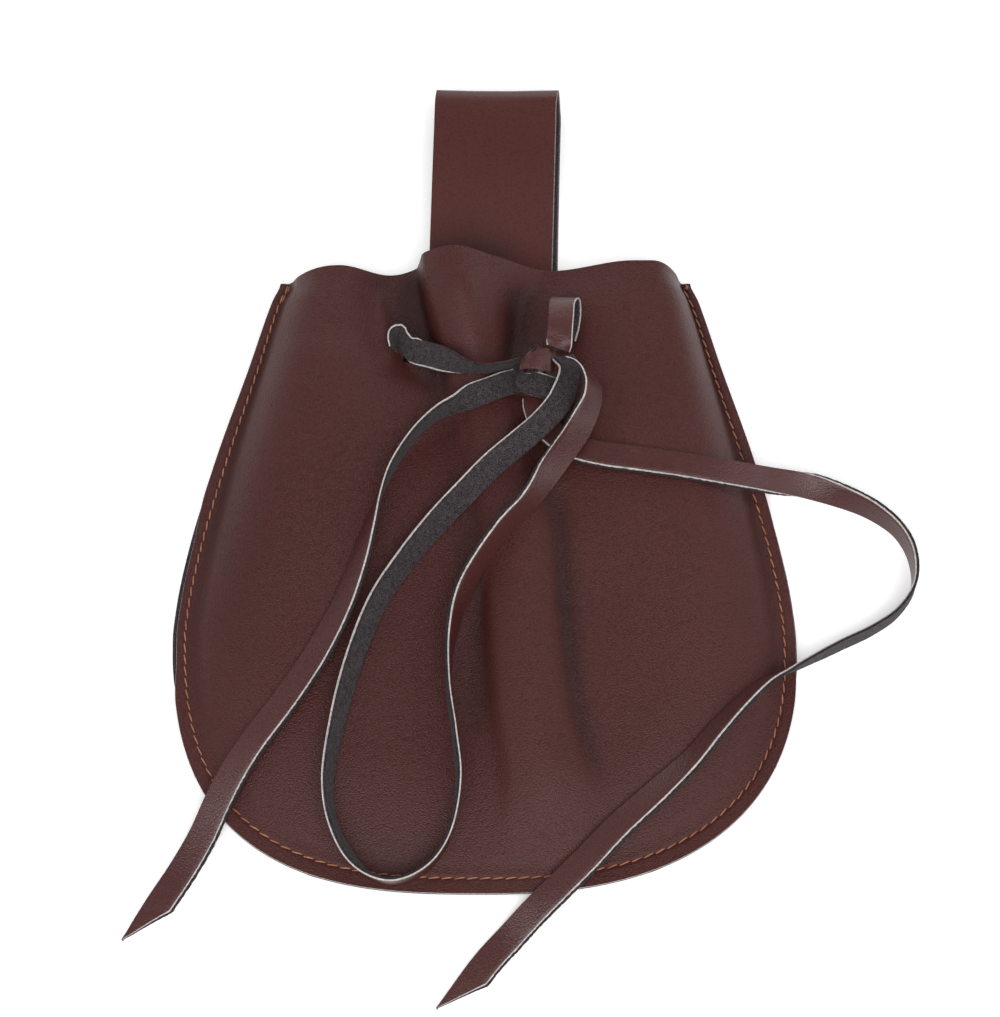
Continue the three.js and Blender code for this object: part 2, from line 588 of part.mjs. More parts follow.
const brownLeather = new THREE.MeshStandardMaterial({ color: 0x55373a, roughness: 0.5, metalness: 0 });
const suedeBack = new THREE.MeshStandardMaterial({ color: 0x413a3c, roughness: 0.95, metalness: 0 });

const pouch = new THREE.Group();

function addPiece(name, geometry, material) {
  const mesh = new THREE.Mesh(geometry, material);
  mesh.name = name;
  pouch.add(mesh);
}

const slitFront = slits.reduce((solid, slit) => solid.subtract(slitCutter(slit)), toSolid(frontPanel()));
addPiece('front_panel', toGeometry(slitFront), brownLeather);
addPiece('back_panel', backPanel(), brownLeather);
addPiece('belt_loop_strap', strip(strapRoute(), strapWidth, leather, strapSteps), brownLeather);
for (const [name, route] of Object.entries(laceRoutes)) {
  const steps = Math.min(mostLaceSteps, Math.ceil(routeLength(route) / laceStep));
  const tip = name.endsWith('tail') ? tipLength : 0;
  const material = name === 'lace_gather' ? suedeBack : brownLeather;
  addPiece(name, strip(route, laceWidth, laceThickness, steps, tip), material);
}

export default pouch;
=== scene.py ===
# Medieval belt pouch of thin coated leather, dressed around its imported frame.
# Metres, +Z up, +X to the right, +Y towards the belt loop, the floor at z = 0.
import math
import bpy
import numpy as np
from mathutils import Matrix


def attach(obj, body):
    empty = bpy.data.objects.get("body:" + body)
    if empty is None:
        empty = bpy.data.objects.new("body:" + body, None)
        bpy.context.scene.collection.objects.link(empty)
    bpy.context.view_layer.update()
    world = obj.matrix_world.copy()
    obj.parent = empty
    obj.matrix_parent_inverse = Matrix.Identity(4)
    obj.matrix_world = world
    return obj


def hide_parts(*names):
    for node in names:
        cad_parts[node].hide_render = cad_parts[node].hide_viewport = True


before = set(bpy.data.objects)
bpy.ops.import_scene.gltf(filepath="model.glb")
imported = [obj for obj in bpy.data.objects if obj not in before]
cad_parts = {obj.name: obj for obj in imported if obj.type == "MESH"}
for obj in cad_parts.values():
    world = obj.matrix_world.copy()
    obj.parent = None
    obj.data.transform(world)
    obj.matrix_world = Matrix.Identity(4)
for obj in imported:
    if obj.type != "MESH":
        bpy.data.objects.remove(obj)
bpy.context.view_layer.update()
scene = bpy.context.scene
print("frame loaded with", len(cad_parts), "nodes")

photoCamera = {
    "place": (0.00465, -0.38331, 0.79755),
    "tilt": 25,  # degrees away from looking straight down
    "lens": 101.467,
    "sensor": 36,
    "near": 0.01,
}


def addObject(name, data):
    item = bpy.data.objects.new(name, data)
    scene.collection.objects.link(item)
    return item


def makeCamera(look):
    data = bpy.data.cameras.new("photoCamera")
    data.lens = look["lens"]
    data.sensor_width = look["sensor"]
    data.clip_start = look["near"]
    camera = addObject("photoCamera", data)
    camera.location = look["place"]
    camera.rotation_euler = (math.radians(look["tilt"]), 0, 0)
    scene.camera = camera


makeCamera(photoCamera)
print("camera placed")

# Route of each stretch of lace: middle of the strip, then the direction of its edge A.
# The coated face is on the side of (direction of travel) x (direction of edge A).
laceRoutes = {
    "lace_gather": [
        (-0.0282, 0.0366, 0.0144, -0.25, 0.05, 1),
        (-0.0284, 0.0384, 0.0149, -0.25, 0.2, 0.95),
        (-0.0278, 0.0402, 0.0151, -0.2, 0.35, 0.9),
        (-0.0264, 0.0409, 0.015, 0, 0.4, 0.9),
        (-0.025, 0.039, 0.0147, 0.05, 0.4, 0.9),
        (-0.0236, 0.0369, 0.0145, 0.1, 0.5, 0.85),
        (-0.0214, 0.0355, 0.0146, 0.05, 0.9, 0.4),
        (-0.0178, 0.0336, 0.0164, 0, 0.9, 0.4),
        (-0.0138, 0.031, 0.0188, 0, 0.85, 0.5),
        (-0.01, 0.0286, 0.021, 0, 0.5, 0.85),
        (-0.0061, 0.0264, 0.0224, 0, 0.15, 1),
        (-0.0025, 0.0255, 0.0224, 0, -0.1, 1),
        (0.0009, 0.0257, 0.0218, 0, -0.2, 1),
        (0.0047, 0.0274, 0.0198, 0, -0.25, 1),
        (0.0092, 0.0294, 0.0183, 0, -0.25, 1),
    ],
    "lace_knot": [
        (0.0214, 0.0306, 0.0176, -0.1, 0.95, 0.3),
        (0.0186, 0.0304, 0.0192, -0.15, 0.9, 0.4),
        (0.016, 0.0295, 0.0202, -0.2, 0.75, 0.65),
        (0.0138, 0.0287, 0.0204, -0.1, 0.2, 1),
        (0.0125, 0.0278, 0.0198, 0, 0, 1),
        (0.0119, 0.0262, 0.0187, 0, 0.4, 0.9),
        (0.0123, 0.0247, 0.0178, 0.1, 0.75, 0.6),
        (0.014, 0.0235, 0.017, 0.1, 1, 0.2),
        (0.0171, 0.0224, 0.0168, 0.05, 1, 0.1),
        (0.02, 0.0215, 0.0167, 0, 1, 0.05),
        (0.0222, 0.0209, 0.0165, 0, 1, 0),
    ],
    "lace_small_loop": [
        (0.0223, 0.0328, 0.0212, 0.85, 0, -0.5),
        (0.0228, 0.0353, 0.0218, 1, -0.2, 0),
        (0.023, 0.0391, 0.0226, 1, -0.15, 0),
        (0.0234, 0.0443, 0.0224, 1, -0.1, 0),
        (0.0238, 0.0489, 0.0212, 1, -0.1, 0.05),
        (0.0248, 0.0513, 0.019, 1, -0.1, 0.1),
        (0.0257, 0.0516, 0.0168, 1, -0.1, 0.2),
        (0.0259, 0.0488, 0.0154, 1, -0.1, 0.2),
        (0.0254, 0.0444, 0.015, 1, -0.1, 0.2),
        (0.0242, 0.0394, 0.015, 1, -0.2, 0.2),
    ],
    "lace_big_loop": [
        (0.0242, 0.031, 0.0194, -0.8, -0.4, 0.4),
        (0.026, 0.0272, 0.0198, -0.8, -0.15, 0.6),
        (0.0259, 0.0244, 0.0194, -0.75, 0, 0.65),
        (0.025, 0.021, 0.0192, -0.75, 0.2, 0.6),
        (0.023, 0.0158, 0.019, -0.75, 0.5, 0.3),
        (0.018, 0.0092, 0.0188, -0.7, 0.65, 0.15),
        (0.0106, 0.0018, 0.0192, -0.65, 0.65, 0.25),
        (0.0024, -0.006, 0.0194, -0.65, 0.6, 0.4),
        (-0.0046, -0.0132, 0.018, -0.65, 0.5, 0.5),
        (-0.0132, -0.0224, 0.0164, -0.65, 0.4, 0.6),
        (-0.0229, -0.0351, 0.0162, -0.6, 0.2, 0.8),
        (-0.0315, -0.0493, 0.0161, -0.6, 0, 0.8),
        (-0.0384, -0.0682, 0.015, -0.55, -0.15, 0.8),
        (-0.0427, -0.0863, 0.0141, -0.45, -0.2, 0.85),
        (-0.0452, -0.1041, 0.0121, -0.3, -0.2, 0.9),
        (-0.0438, -0.1151, 0.0104, -0.2, -0.3, 0.9),
        (-0.0388, -0.125, 0.0085, -0.2, -0.4, 0.9),
        (-0.033, -0.1306, 0.0074, -0.1, -0.25, 1),
        (-0.0266, -0.1327, 0.0072, 0, -0.15, 1),
        (-0.0196, -0.1308, 0.0074, 0, -0.1, 1),
        (-0.0142, -0.1265, 0.0082, 0.1, 0, 1),
        (-0.01, -0.1194, 0.0098, 0.1, 0.1, 1),
        (-0.0074, -0.1044, 0.0124, 0.1, 0.05, 1),
        (-0.0086, -0.09, 0.0135, 0.05, 0, 1),
        (-0.0105, -0.075, 0.0144, 0, 0, 1),
        (-0.0096, -0.059, 0.0154, -0.25, 0, 0.95),
        (-0.0056, -0.0446, 0.0168, -0.5, 0, 0.87),
        (0.0054, -0.0274, 0.0204, -0.5, 0.05, 0.88),
        (0.0129, -0.0189, 0.0206, -0.55, 0.1, 0.85),
        (0.0166, -0.0134, 0.0204, -0.65, 0.2, 0.75),
        (0.0198, -0.008, 0.0202, -0.75, 0.4, 0.5),
        (0.0236, -0.0022, 0.02, -0.8, 0.5, 0.3),
        (0.0275, 0.0038, 0.02, -0.8, 0.5, 0.3),
        (0.0305, 0.0099, 0.0204, -0.8, 0.25, 0.55),
        (0.0327, 0.0156, 0.0216, -0.7, -0.1, 0.7),
        (0.0326, 0.0197, 0.023, -0.6, -0.05, 0.8),
        (0.0305, 0.0233, 0.0242, -0.45, -0.1, 0.9),
        (0.0276, 0.0254, 0.025, -0.25, -0.15, 0.95),
        (0.0244, 0.0262, 0.0253, -0.1, -0.15, 0.95),
    ],
    "lace_left_tail": [
        (0.0105, 0.0258, 0.0139, -0.05, 1, 0.1),
        (0.0088, 0.0246, 0.0148, -0.05, 1, 0.15),
        (0.0064, 0.0229, 0.0168, -0.1, 1, 0.2),
        (0.0019, 0.02, 0.019, -0.1, 1, 0.1),
        (-0.0026, 0.0175, 0.0201, -0.1, 0.9, 0.4),
        (-0.0079, 0.0149, 0.0196, -0.1, 0.35, 0.95),
        (-0.0139, 0.0123, 0.0188, -0.15, 0, 1),
        (-0.0189, 0.008, 0.0184, -0.2, -0.2, 0.95),
        (-0.0232, 0.0024, 0.0184, -0.15, -0.25, 0.95),
        (-0.0284, -0.0073, 0.0188, 0, -0.1, 1),
        (-0.0314, -0.0158, 0.0187, 0.2, 0, 1),
        (-0.034, -0.024, 0.0182, 0.45, -0.1, 0.85),
        (-0.0375, -0.0366, 0.0172, 0.65, -0.2, 0.7),
        (-0.0424, -0.0506, 0.0159, 0.75, -0.35, 0.55),
        (-0.0497, -0.0652, 0.0143, 0.8, -0.5, 0.35),
        (-0.058, -0.0782, 0.0127, 0.8, -0.6, 0.25),
        (-0.0681, -0.0919, 0.0102, 0.8, -0.6, 0.2),
        (-0.0736, -0.1002, 0.0076, 0.85, -0.5, 0.1),
        (-0.0778, -0.108, 0.0052, 0.85, -0.5, 0),
        (-0.0822, -0.1176, 0.0024, 0.85, -0.5, 0),
        (-0.0876, -0.1274, 0.0009, 0.85, -0.5, 0),
        (-0.0943, -0.1386, 0.0007, 0.8, -0.6, 0),
        (-0.1004, -0.15, 0.0007, 0.8, -0.6, 0),
    ],
    "lace_right_tail": [
        (0.0156, 0.0193, 0.0142, 0.95, 0.05, 0.15),
        (0.0157, 0.0166, 0.0147, 0.95, 0.15, 0.15),
        (0.0168, 0.0126, 0.015, 0.85, 0.45, 0.15),
        (0.0194, 0.0084, 0.0155, 0.75, 0.65, 0.1),
        (0.023, 0.0045, 0.016, 0.5, 0.85, 0),
        (0.0286, 0.0012, 0.0166, 0.25, 0.95, 0),
        (0.0364, -0.0012, 0.0173, 0.15, 1, 0),
        (0.0473, -0.0032, 0.018, 0.1, 1, 0),
        (0.0594, -0.005, 0.0179, 0.1, 1, 0.05),
        (0.0717, -0.0065, 0.0164, 0.1, 1, 0.1),
        (0.0795, -0.0066, 0.0136, 0.1, 1, 0.1),
        (0.087, -0.0064, 0.0102, 0.15, 1, 0.15),
        (0.0971, -0.007, 0.0074, 0.2, 0.85, 0.45),
        (0.1086, -0.0098, 0.0054, 0.25, 0.5, 0.8),
        (0.1186, -0.0144, 0.0046, 0.3, 0.2, 0.95),
        (0.126, -0.021, 0.0044, 0.2, 0, 1),
        (0.1296, -0.0292, 0.0044, 0.1, 0, 1),
        (0.1294, -0.0394, 0.0044, 0, 0, 1),
        (0.124, -0.0478, 0.0044, 0, 0, 1),
        (0.1164, -0.0534, 0.0044, 0, 0, 1),
        (0.106, -0.0588, 0.0048, 0, 0, 1),
        (0.0976, -0.0636, 0.0062, 0, -0.1, 1),
        (0.0906, -0.0678, 0.008, 0.1, -0.2, 1),
        (0.0836, -0.0724, 0.0116, 0.2, -0.4, 0.9),
        (0.0762, -0.0793, 0.013, 0.3, -0.5, 0.8),
        (0.0682, -0.0879, 0.0129, 0.35, -0.6, 0.7),
        (0.0603, -0.097, 0.0118, 0.4, -0.7, 0.6),
        (0.0506, -0.106, 0.0104, 0.5, -0.8, 0.4),
        (0.0383, -0.1168, 0.0083, 0.6, -0.8, 0.25),
        (0.0297, -0.1256, 0.0066, 0.6, -0.8, 0.15),
        (0.022, -0.133, 0.0052, 0.6, -0.8, 0.1),
        (0.0146, -0.14, 0.0036, 0.65, -0.75, 0),
        (0.0077, -0.147, 0.0011, 0.65, -0.75, 0),
        (0.0002, -0.1554, 0.0007, 0.7, -0.7, 0),
        (-0.0104, -0.1704, 0.0007, 0.75, -0.65, 0),
    ],
    "lace_inside": [
        (-0.0256, 0.0376, 0.0062, 0, 1, 0),
        (-0.023, 0.0372, 0.0062, 0, 1, 0),
        (-0.014, 0.0354, 0.0062, 0, 1, 0),
        (-0.004, 0.0332, 0.006, 0, 1, 0),
        (0.006, 0.0312, 0.006, 0, 1, 0),
        (0.013, 0.03, 0.0064, 0, 1, 0),
        (0.017, 0.0294, 0.0076, 0, 1, 0),
    ],
}

lace = {
    "width": 0.0075,
    "thickness": 0.0012,
    "step": 0.0006,
    "faceSteps": 6,
    "tip": 0.014,  # slanting cut at the end of a tail
    "bluntTip": 0.05,  # share of the width left at the very end
    "tipSteps": 5,  # samples that a tail's declared path leaves off, where the tip is narrow
    "crown": 0.00006,
    "coat": 0.00042,  # pale layer next to the coated face, seen at the cut edge
    "fuzz": 0.00009,
    "suedeUp": ("lace_gather", "lace_knot", "lace_small_loop"),  # the suede is on the route's face side
    # Distance along, how far the coat stands out at edges A and B, then how far the suede does past it
    "ledges": {
        "lace_gather": [(0, 0.0003, 0.0001, 0, 0), (0.012, 0.0003, 0.0002, 0, 0),
                        (0.017, -0.0003, 0.0004, 0, 0)],
        "lace_knot": [(0, -0.0005, -0.0003, 0, 0), (0.011, -0.0005, -0.0003, 0, 0),
                      (0.0135, 0.0004, -0.0003, 0, 0)],
        "lace_small_loop": [(0, 0.0004, 0.0003, 0, 0), (0.004, 0.0003, 0, 0, 0),
                            (0.016, 0.0003, -0.0001, 0, 0)],
        "lace_big_loop": [(0, 0.00035, 0, 0, 0), (0.24, 0.00035, 0, 0, 0), (0.28, 0.0003, 0, 0.0004, 0)],
        "lace_left_tail": [(0, 0.0003, -0.0002, 0, 0), (0.06, 0.0003, -0.0002, 0, 0),
                           (0.1, 0.0003, 0, 0.0007, 0)],
        "lace_right_tail": [(0, -0.0003, 0.00035, 0, 0.0002), (0.03, -0.0003, 0.0003, 0, 0.0006),
                            (0.084, -0.0003, 0.0003, 0, 0.0005), (0.098, 0.0003, 0, 0.0003, 0),
                            (0.2, 0.0003, 0, 0.0003, 0), (0.24, 0.0003, 0, 0.0006, 0)],
        "lace_inside": [(0, 0, 0, 0, 0)],
    },
}

# A strip's cut edge below the coated face, in metres or as shares of what the name says
cutEdge = {
    "coatRound": 0.25,  # share of the coat where its corner ends
    "coatFoot": 1.15,  # share of the coat where the suede begins
    "bevel": 0.0002,
    "bevelPerLedge": 0.4,
    "bevelled": (-0.3, -0.5, -1),  # shares of the bevel where the suede begins, half way down, at its foot
    "skirted": (0.6, 1, 0.8),  # shares of the skirt at the same three places
    "fullSkirt": 0.0003,
    "cornerIn": 0.6,
    "paintedSkirt": 0.0001,  # a wider skirt is suede where the pale layer would end
    "wrapped": -0.0004,  # a coat set in this far covers the whole edge
    "napInset": 0.0004,
    "napFuzz": 0.4,  # share of the fuzz on the suede side
}

seeds = {"laces": 20, "knotFold": 31, "front": 3, "back": 4, "strap": 5}
brown, pale, cutSuede, nap = range(4)  # places in the list of materials of a leather piece


def unit(rows):
    return rows / np.maximum(np.linalg.norm(rows, axis=-1, keepdims=True), 1e-12)


def smoothStep(low, high, value):
    t = np.clip((value - low) / (high - low), 0, 1)
    return t * t * (3 - 2 * t)


# Cubic between two values with a slope at each, over a span
def cubic(t, span, first, firstSlope, last, lastSlope):
    return ((2 * t**3 - 3 * t**2 + 1) * first + (t**3 - 2 * t**2 + t) * span * firstSlope
            + (3 * t**2 - 2 * t**3) * last + (t**3 - t**2) * span * lastSlope)


# Centripetal curve through the points, and the values beside them eased from point to point
def smoothThrough(points, beside, perSpan=24):
    first = 2 * points[0] - points[1]
    last = 2 * points[-1] - points[-2]
    p = np.vstack([first, points, last])
    b = np.vstack([beside[0], beside, beside[-1]])
    line, values = [], []
    for i in range(1, len(p) - 2):
        d0, d1, d2 = (max(np.linalg.norm(p[i + k + 1] - p[i + k]) ** 0.5, 1e-6) for k in (-1, 0, 1))
        t1 = (p[i] - p[i - 1]) / d0 - (p[i + 1] - p[i - 1]) / (d0 + d1) + (p[i + 1] - p[i]) / d1
        t2 = (p[i + 1] - p[i]) / d1 - (p[i + 2] - p[i]) / (d1 + d2) + (p[i + 2] - p[i + 1]) / d2
        t = np.linspace(0, 1, perSpan, endpoint=i == len(p) - 3)[:, None]
        line.append(cubic(t, 1, p[i], t1 * d1, p[i + 1], t2 * d1))
        values.append(cubic(t, 1, b[i], (b[i + 1] - b[i - 1]) / 2, b[i + 1], (b[i + 2] - b[i]) / 2))
    return np.vstack(line), np.vstack(values)


def runAlong(line):
    return np.concatenate([[0], np.cumsum(np.linalg.norm(np.diff(line, axis=0), axis=1))])


def sampleRoute(rows, step):
    rows = np.array(rows, float)
    line, sides = smoothThrough(rows[:, :3], rows[:, 3:])
    run = runAlong(line)
    count = max(8, int(round(run[-1] / step)))
    at = np.linspace(0, run[-1], count + 1)
    centres = np.stack([np.interp(at, run, line[:, k]) for k in range(3)], 1)
    sides = np.stack([np.interp(at, run, sides[:, k]) for k in range(3)], 1)
    tangents = unit(np.gradient(centres, axis=0))
    sides = unit(sides - (sides * tangents).sum(1, keepdims=True) * tangents)
    return centres, sides, np.cross(tangents, sides), at


# Cross-section of a leather strip: coated face from edge A to edge B, cut edge B, suede back, cut edge A
def stripSection(width, thickness, coat, ledges, crown, faceSteps, turnedOver=False, skirts=(0, 0)):
    half, over = width / 2, thickness / 2
    face = [(half * s, over + crown * (1 - s * s)) for s in np.linspace(1, -1, faceSteps + 1)]

    def edgePoints(ledge, skirt):
        bevel = cutEdge["bevel"] + cutEdge["bevelPerLedge"] * max(ledge, 0)
        out = min(1, skirt / cutEdge["fullSkirt"])
        low = [share * bevel for share in cutEdge["bevelled"]]
        spread = [ledge + share * skirt for share in cutEdge["skirted"]]
        xs = [half + ledge * (1 - cutEdge["cornerIn"] * out), half + ledge]
        xs += [half + a + (b - a) * out for a, b in zip(low, spread)]
        zs = [over - share * coat for share in (cutEdge["coatRound"], 1, cutEdge["coatFoot"])]
        return list(zip(xs, zs + [-0.5 * over, -over]))

    def edgePaint(ledge, skirt):
        if ledge <= cutEdge["wrapped"]:
            return [brown] * 5
        if ledge <= 0:
            return [brown, brown] + [cutSuede] * 3
        return [pale, pale, cutSuede if skirt > cutEdge["paintedSkirt"] else pale, cutSuede, cutSuede]

    edgeB = [(-x, z) for x, z in edgePoints(ledges[1], skirts[1])]
    inner = half - cutEdge["napInset"]
    back = [(inner * s, -over) for s in np.linspace(-1, 1, faceSteps + 1)[1:-1]]
    edgeA = edgePoints(ledges[0], skirts[0])[::-1]
    points = face + edgeB + back + edgeA
    paints = [brown] * faceSteps + edgePaint(ledges[1], skirts[1]) + [nap] * faceSteps
    paints += edgePaint(ledges[0], skirts[0])[::-1]
    if turnedOver:
        points = [(x, -z) for x, z in points[::-1]]
        paints = paints[-2::-1] + paints[-1:]
    return np.array(points), paints


def ringFaces(rings, around, paints):
    faces, marks = [], []
    for i in range(rings - 1):
        for k in range(around):
            n = (k + 1) % around
            faces.append((i * around + k, i * around + n, (i + 1) * around + n, (i + 1) * around + k))
            marks.append(paints[i][k])
    faces.append(tuple(range(around))[::-1])
    faces.append(tuple((rings - 1) * around + k for k in range(around)))
    return faces, marks + [cutSuede, cutSuede]


def makePiece(name, points, faces, paints, materials, sharp=40):
    mesh = bpy.data.meshes.new(name)
    mesh.from_pydata([tuple(p) for p in points], [], faces)
    for material in materials:
        mesh.materials.append(material)
    mesh.polygons.foreach_set("material_index", paints)
    mesh.shade_smooth()
    mesh.set_sharp_from_angle(angle=math.radians(sharp))
    mesh.validate()
    return addObject(name, mesh)


# Leather strip swept along sampled rings, with uneven fibres at its suede side
def sweepStrip(name, route, sections, paints, materials, fuzz, seed, tip=0):
    centres, sides, faces, run = route
    random = np.random.RandomState(seed)
    across, over = sections[..., 0], sections[..., 1]
    marks = np.array(paints)
    fibrous = (marks == cutSuede) | (np.roll(marks, 1, 1) == cutSuede)
    across = across + random.uniform(-fuzz, fuzz, across.shape) * fibrous
    napped = (marks == nap) | (np.roll(marks, 1, 1) == nap)
    over = over + random.uniform(-fuzz, fuzz, over.shape) * cutEdge["napFuzz"] * napped
    if tip:
        low = across.min(1, keepdims=True)
        cut = np.clip((run[-1] - run) / tip, lace["bluntTip"], 1)[:, None]
        across = low + (across - low) * cut
    points = centres[:, None] + sides[:, None] * across[..., None] + faces[:, None] * over[..., None]
    quads, marks = ringFaces(len(run), len(paints[0]), paints)
    middle = centres + sides * ((across.max(1) + across.min(1)) / 2)[:, None]
    return makePiece(name, points.reshape(-1, 3), quads, marks, materials), middle


pouch = {
    "length": 0.201,  # mouth line to the bottom edge
    "mouthWidth": 0.13,
    "fullWidth": 0.187,
    "widestDown": 0.122,
    "squareLeft": 2.85,  # power of the bottom's rounding, 2 is an ellipse
    "squareRight": 2.45,
    "roundFromLeft": 0.11,  # mouth line to where the bottom starts to round
    "roundFromRight": 0.122,
    "mouthY": 0.066,
    "leather": 0.0013,
    "layerGap": 0.0003,
    "coat": 0.0004,
    "fuzz": 0.0001,
    # Layers of the cut edge: depth as a share of the coat and of the leather, how far out, fuzzy or not
    "rimLayers": [(0.25, 0, 0.00006, 0), (1, 0, 0.00004, 0), (1.15, 0, -0.0001, 1), (0, 0.75, 0, 1)],
    "crest": 0.0272,  # height of the pinched fold at the mouth
    "flange": (0.0026, 0.0046),  # flat sewn margin at the mouth and at the bottom
    "flangeDown": 0.5,  # share of the length over which it widens
    "shoulderMouth": (0.0165, 0.0105),  # width of the moulded rise, left and right
    "shoulderBottom": 0.034,
    "shoulderDown": 0.75,
    "footStart": -0.05,
    "footRound": 0.2,
    "bulge": 2.2,  # power of the moulded rise beside the seam
    "grooveDepth": 0.0004,
    "grooveWidth": 0.0006,
    "leastFoldRise": 0.001,
    "cornerShare": 0.83,
    "frontGrid": (200, 190),
    "backGrid": (120, 110),
    "crowding": 0.6,
    "planMiddle": (0, -0.03),
    "rimPower": 30,  # the higher, the nearer the rim a shift of the edge begins
    "rightShift": 0.35,  # share of a shift on the right side
    "sagBeside": 0.026,
    "sagBelow": 0.028,
    "sagMargin": 0.003,
    "hollowReach": 9,  # grid steps round a place that tell how hollow it lies, for the painted shade in hollows
}

strap = {
    "width": 0.039,
    "thickness": 0.0013,
    "rise": 0.069,
    "sewn": 0.05,
    "bendHeight": 0.0125,
    "shift": 0.0014,
    "lean": 0.002,
    "strandOffset": 0.0016,
    "lipShadowReach": (0.009, 0.021),  # painted shadow of the lip on the strap, measured from the mouth
    "lipShadowMiddle": -0.005,
    "lipShadowWidth": 0.015,
    "lipShadow": 2.2,
    "riseSteps": 6,
    "bendSteps": 8,
    "lowShares": (0, 0.02, 0.3, 0.65, 1),  # route points of the lower strand
    "step": 0.0012,
    "faceSteps": 16,
    "ledges": (0.00005, 0.0003),  # how far the coat stands out at the two cut edges
    "coat": 0.0004,
    "fuzz": 0.0001,
}


# Curve that never overshoots, level at each crest and valley. Rows of xs and ys, one x for each.
def easedCurve(xs, ys, x):
    xs, ys = np.broadcast_arrays(np.atleast_2d(xs), np.atleast_2d(ys))
    x = np.atleast_1d(x)
    if len(xs) == 1:
        xs, ys = np.repeat(xs, len(x), 0), np.repeat(ys, len(x), 0)
    rise = np.diff(ys, axis=1) / np.diff(xs, axis=1)
    before, after = rise[:, :-1], rise[:, 1:]
    together = np.where(before * after > 0, before + after, 1)
    slopes = np.zeros(xs.shape)
    slopes[:, 1:-1] = np.where(before * after > 0, 2 * before * after / together, 0)
    i = np.clip((x[:, None] > xs).sum(1) - 1, 0, xs.shape[1] - 2)

    def at(rows, k):
        return np.take_along_axis(rows, k[:, None], 1)[:, 0]

    span = at(xs, i + 1) - at(xs, i)
    t = np.clip((x - at(xs, i)) / span, 0, 1)
    return cubic(t, span, at(ys, i), at(slopes, i), at(ys, i + 1), at(slopes, i + 1))


def easedTable(rows, value):
    xs, ys = np.array(rows, float).T
    return easedCurve(xs, ys, value)


# Side outline from the mouth corner to the widest place: share of the way down, share of the widening
sideWidening = [(0, 0), (0.05, 0.08), (0.25, 0.315), (0.5, 0.62), (0.75, 0.87), (0.9, 0.97), (1, 1)]


def halfWidthAt(down, side):
    widening = easedTable(sideWidening, down / pouch["widestDown"])
    upper = pouch["mouthWidth"] / 2 + (pouch["fullWidth"] - pouch["mouthWidth"]) / 2 * widening
    square = pouch["squareLeft"] if side < 0 else pouch["squareRight"]
    start = pouch["roundFromLeft"] if side < 0 else pouch["roundFromRight"]
    t = np.clip((down - start) / (pouch["length"] - start), 0, 1)
    return np.minimum(upper, pouch["fullWidth"] / 2 * (1 - t**square) ** (1 / square))


def sideOutline(side, steps=90):
    upper = np.linspace(0, pouch["widestDown"], steps + 1)
    turn = np.linspace(0, math.pi / 2, steps + 1)[1:]
    lower = pouch["widestDown"] + (pouch["length"] - pouch["widestDown"]) * np.sin(turn)
    down = np.concatenate([upper, lower])
    return np.stack([side * halfWidthAt(down, side), pouch["mouthY"] - down], 1)


leftOutline, rightOutline = sideOutline(-1), sideOutline(1)


def alongLine(line, share):
    run = runAlong(line)
    at = np.clip(share, 0, 1) * run[-1]
    return np.stack([np.interp(at, run, line[:, k]) for k in range(line.shape[1])], -1)


def lineDistance(points, line):
    nearest = np.full(len(points), 1e9)
    for a, b in zip(line[:-1], line[1:]):
        along = b - a
        t = np.clip((points - a) @ along / (along @ along), 0, 1)
        nearest = np.minimum(nearest, np.linalg.norm(points - a - t[:, None] * along, axis=1))
    return nearest


def strapLift(x, y):
    stack = 2 * (pouch["leather"] + pouch["layerGap"]) + pouch["layerGap"] / 2
    edge = strap["width"] / 2
    end = pouch["mouthY"] - strap["sewn"]
    across = 1 - smoothStep(edge + pouch["sagMargin"], edge + pouch["sagBeside"], np.abs(x - strap["shift"]))
    return stack * across * smoothStep(end - pouch["sagBelow"], end - pouch["sagMargin"], y)


# Soft creases and swells on top of the sections: from, to, half width and rise
creases = [
    ((-0.0076, 0.018), (-0.005, 0.002), 0.0016, -0.0006),
    ((-0.033, 0.058), (-0.0305, 0.038), 0.0024, 0.0007),
    ((0.0355, 0.042), (0.0375, 0.002), 0.006, -0.0008),
    ((0.0225, -0.012), (0.0235, -0.048), 0.0028, -0.0009),
    ((0.0235, -0.048), (0.0268, -0.079), 0.0026, -0.0009),
    ((0.0268, -0.079), (0.032, -0.099), 0.0026, -0.0008),
    ((-0.002, -0.036), (-0.003, -0.084), 0.004, -0.0006),
]

# Where a crease fades in before its start and out past its end, in shares of its own length
creaseFade = {"start": (-0.35, 0.25), "end": (0.75, 1.35)}


def creaseHeight(points):
    total = np.zeros(len(points))
    for start, end, width, rise in creases:
        a, b = np.array(start), np.array(end)
        along = b - a
        t = (points - a) @ along / (along @ along)
        off = np.linalg.norm(points - a - np.clip(t, 0, 1)[:, None] * along, axis=1)
        fade = smoothStep(*creaseFade["start"], t) * (1 - smoothStep(*creaseFade["end"], t))
        total += rise * np.exp(-((off / width) ** 2)) * fade
    return total


# How far the seam presses into the leather
def grooveAt(points):
    near = lineDistance(points, seamLine) / pouch["grooveWidth"]
    return pouch["grooveDepth"] * np.exp(-(near ** 2))


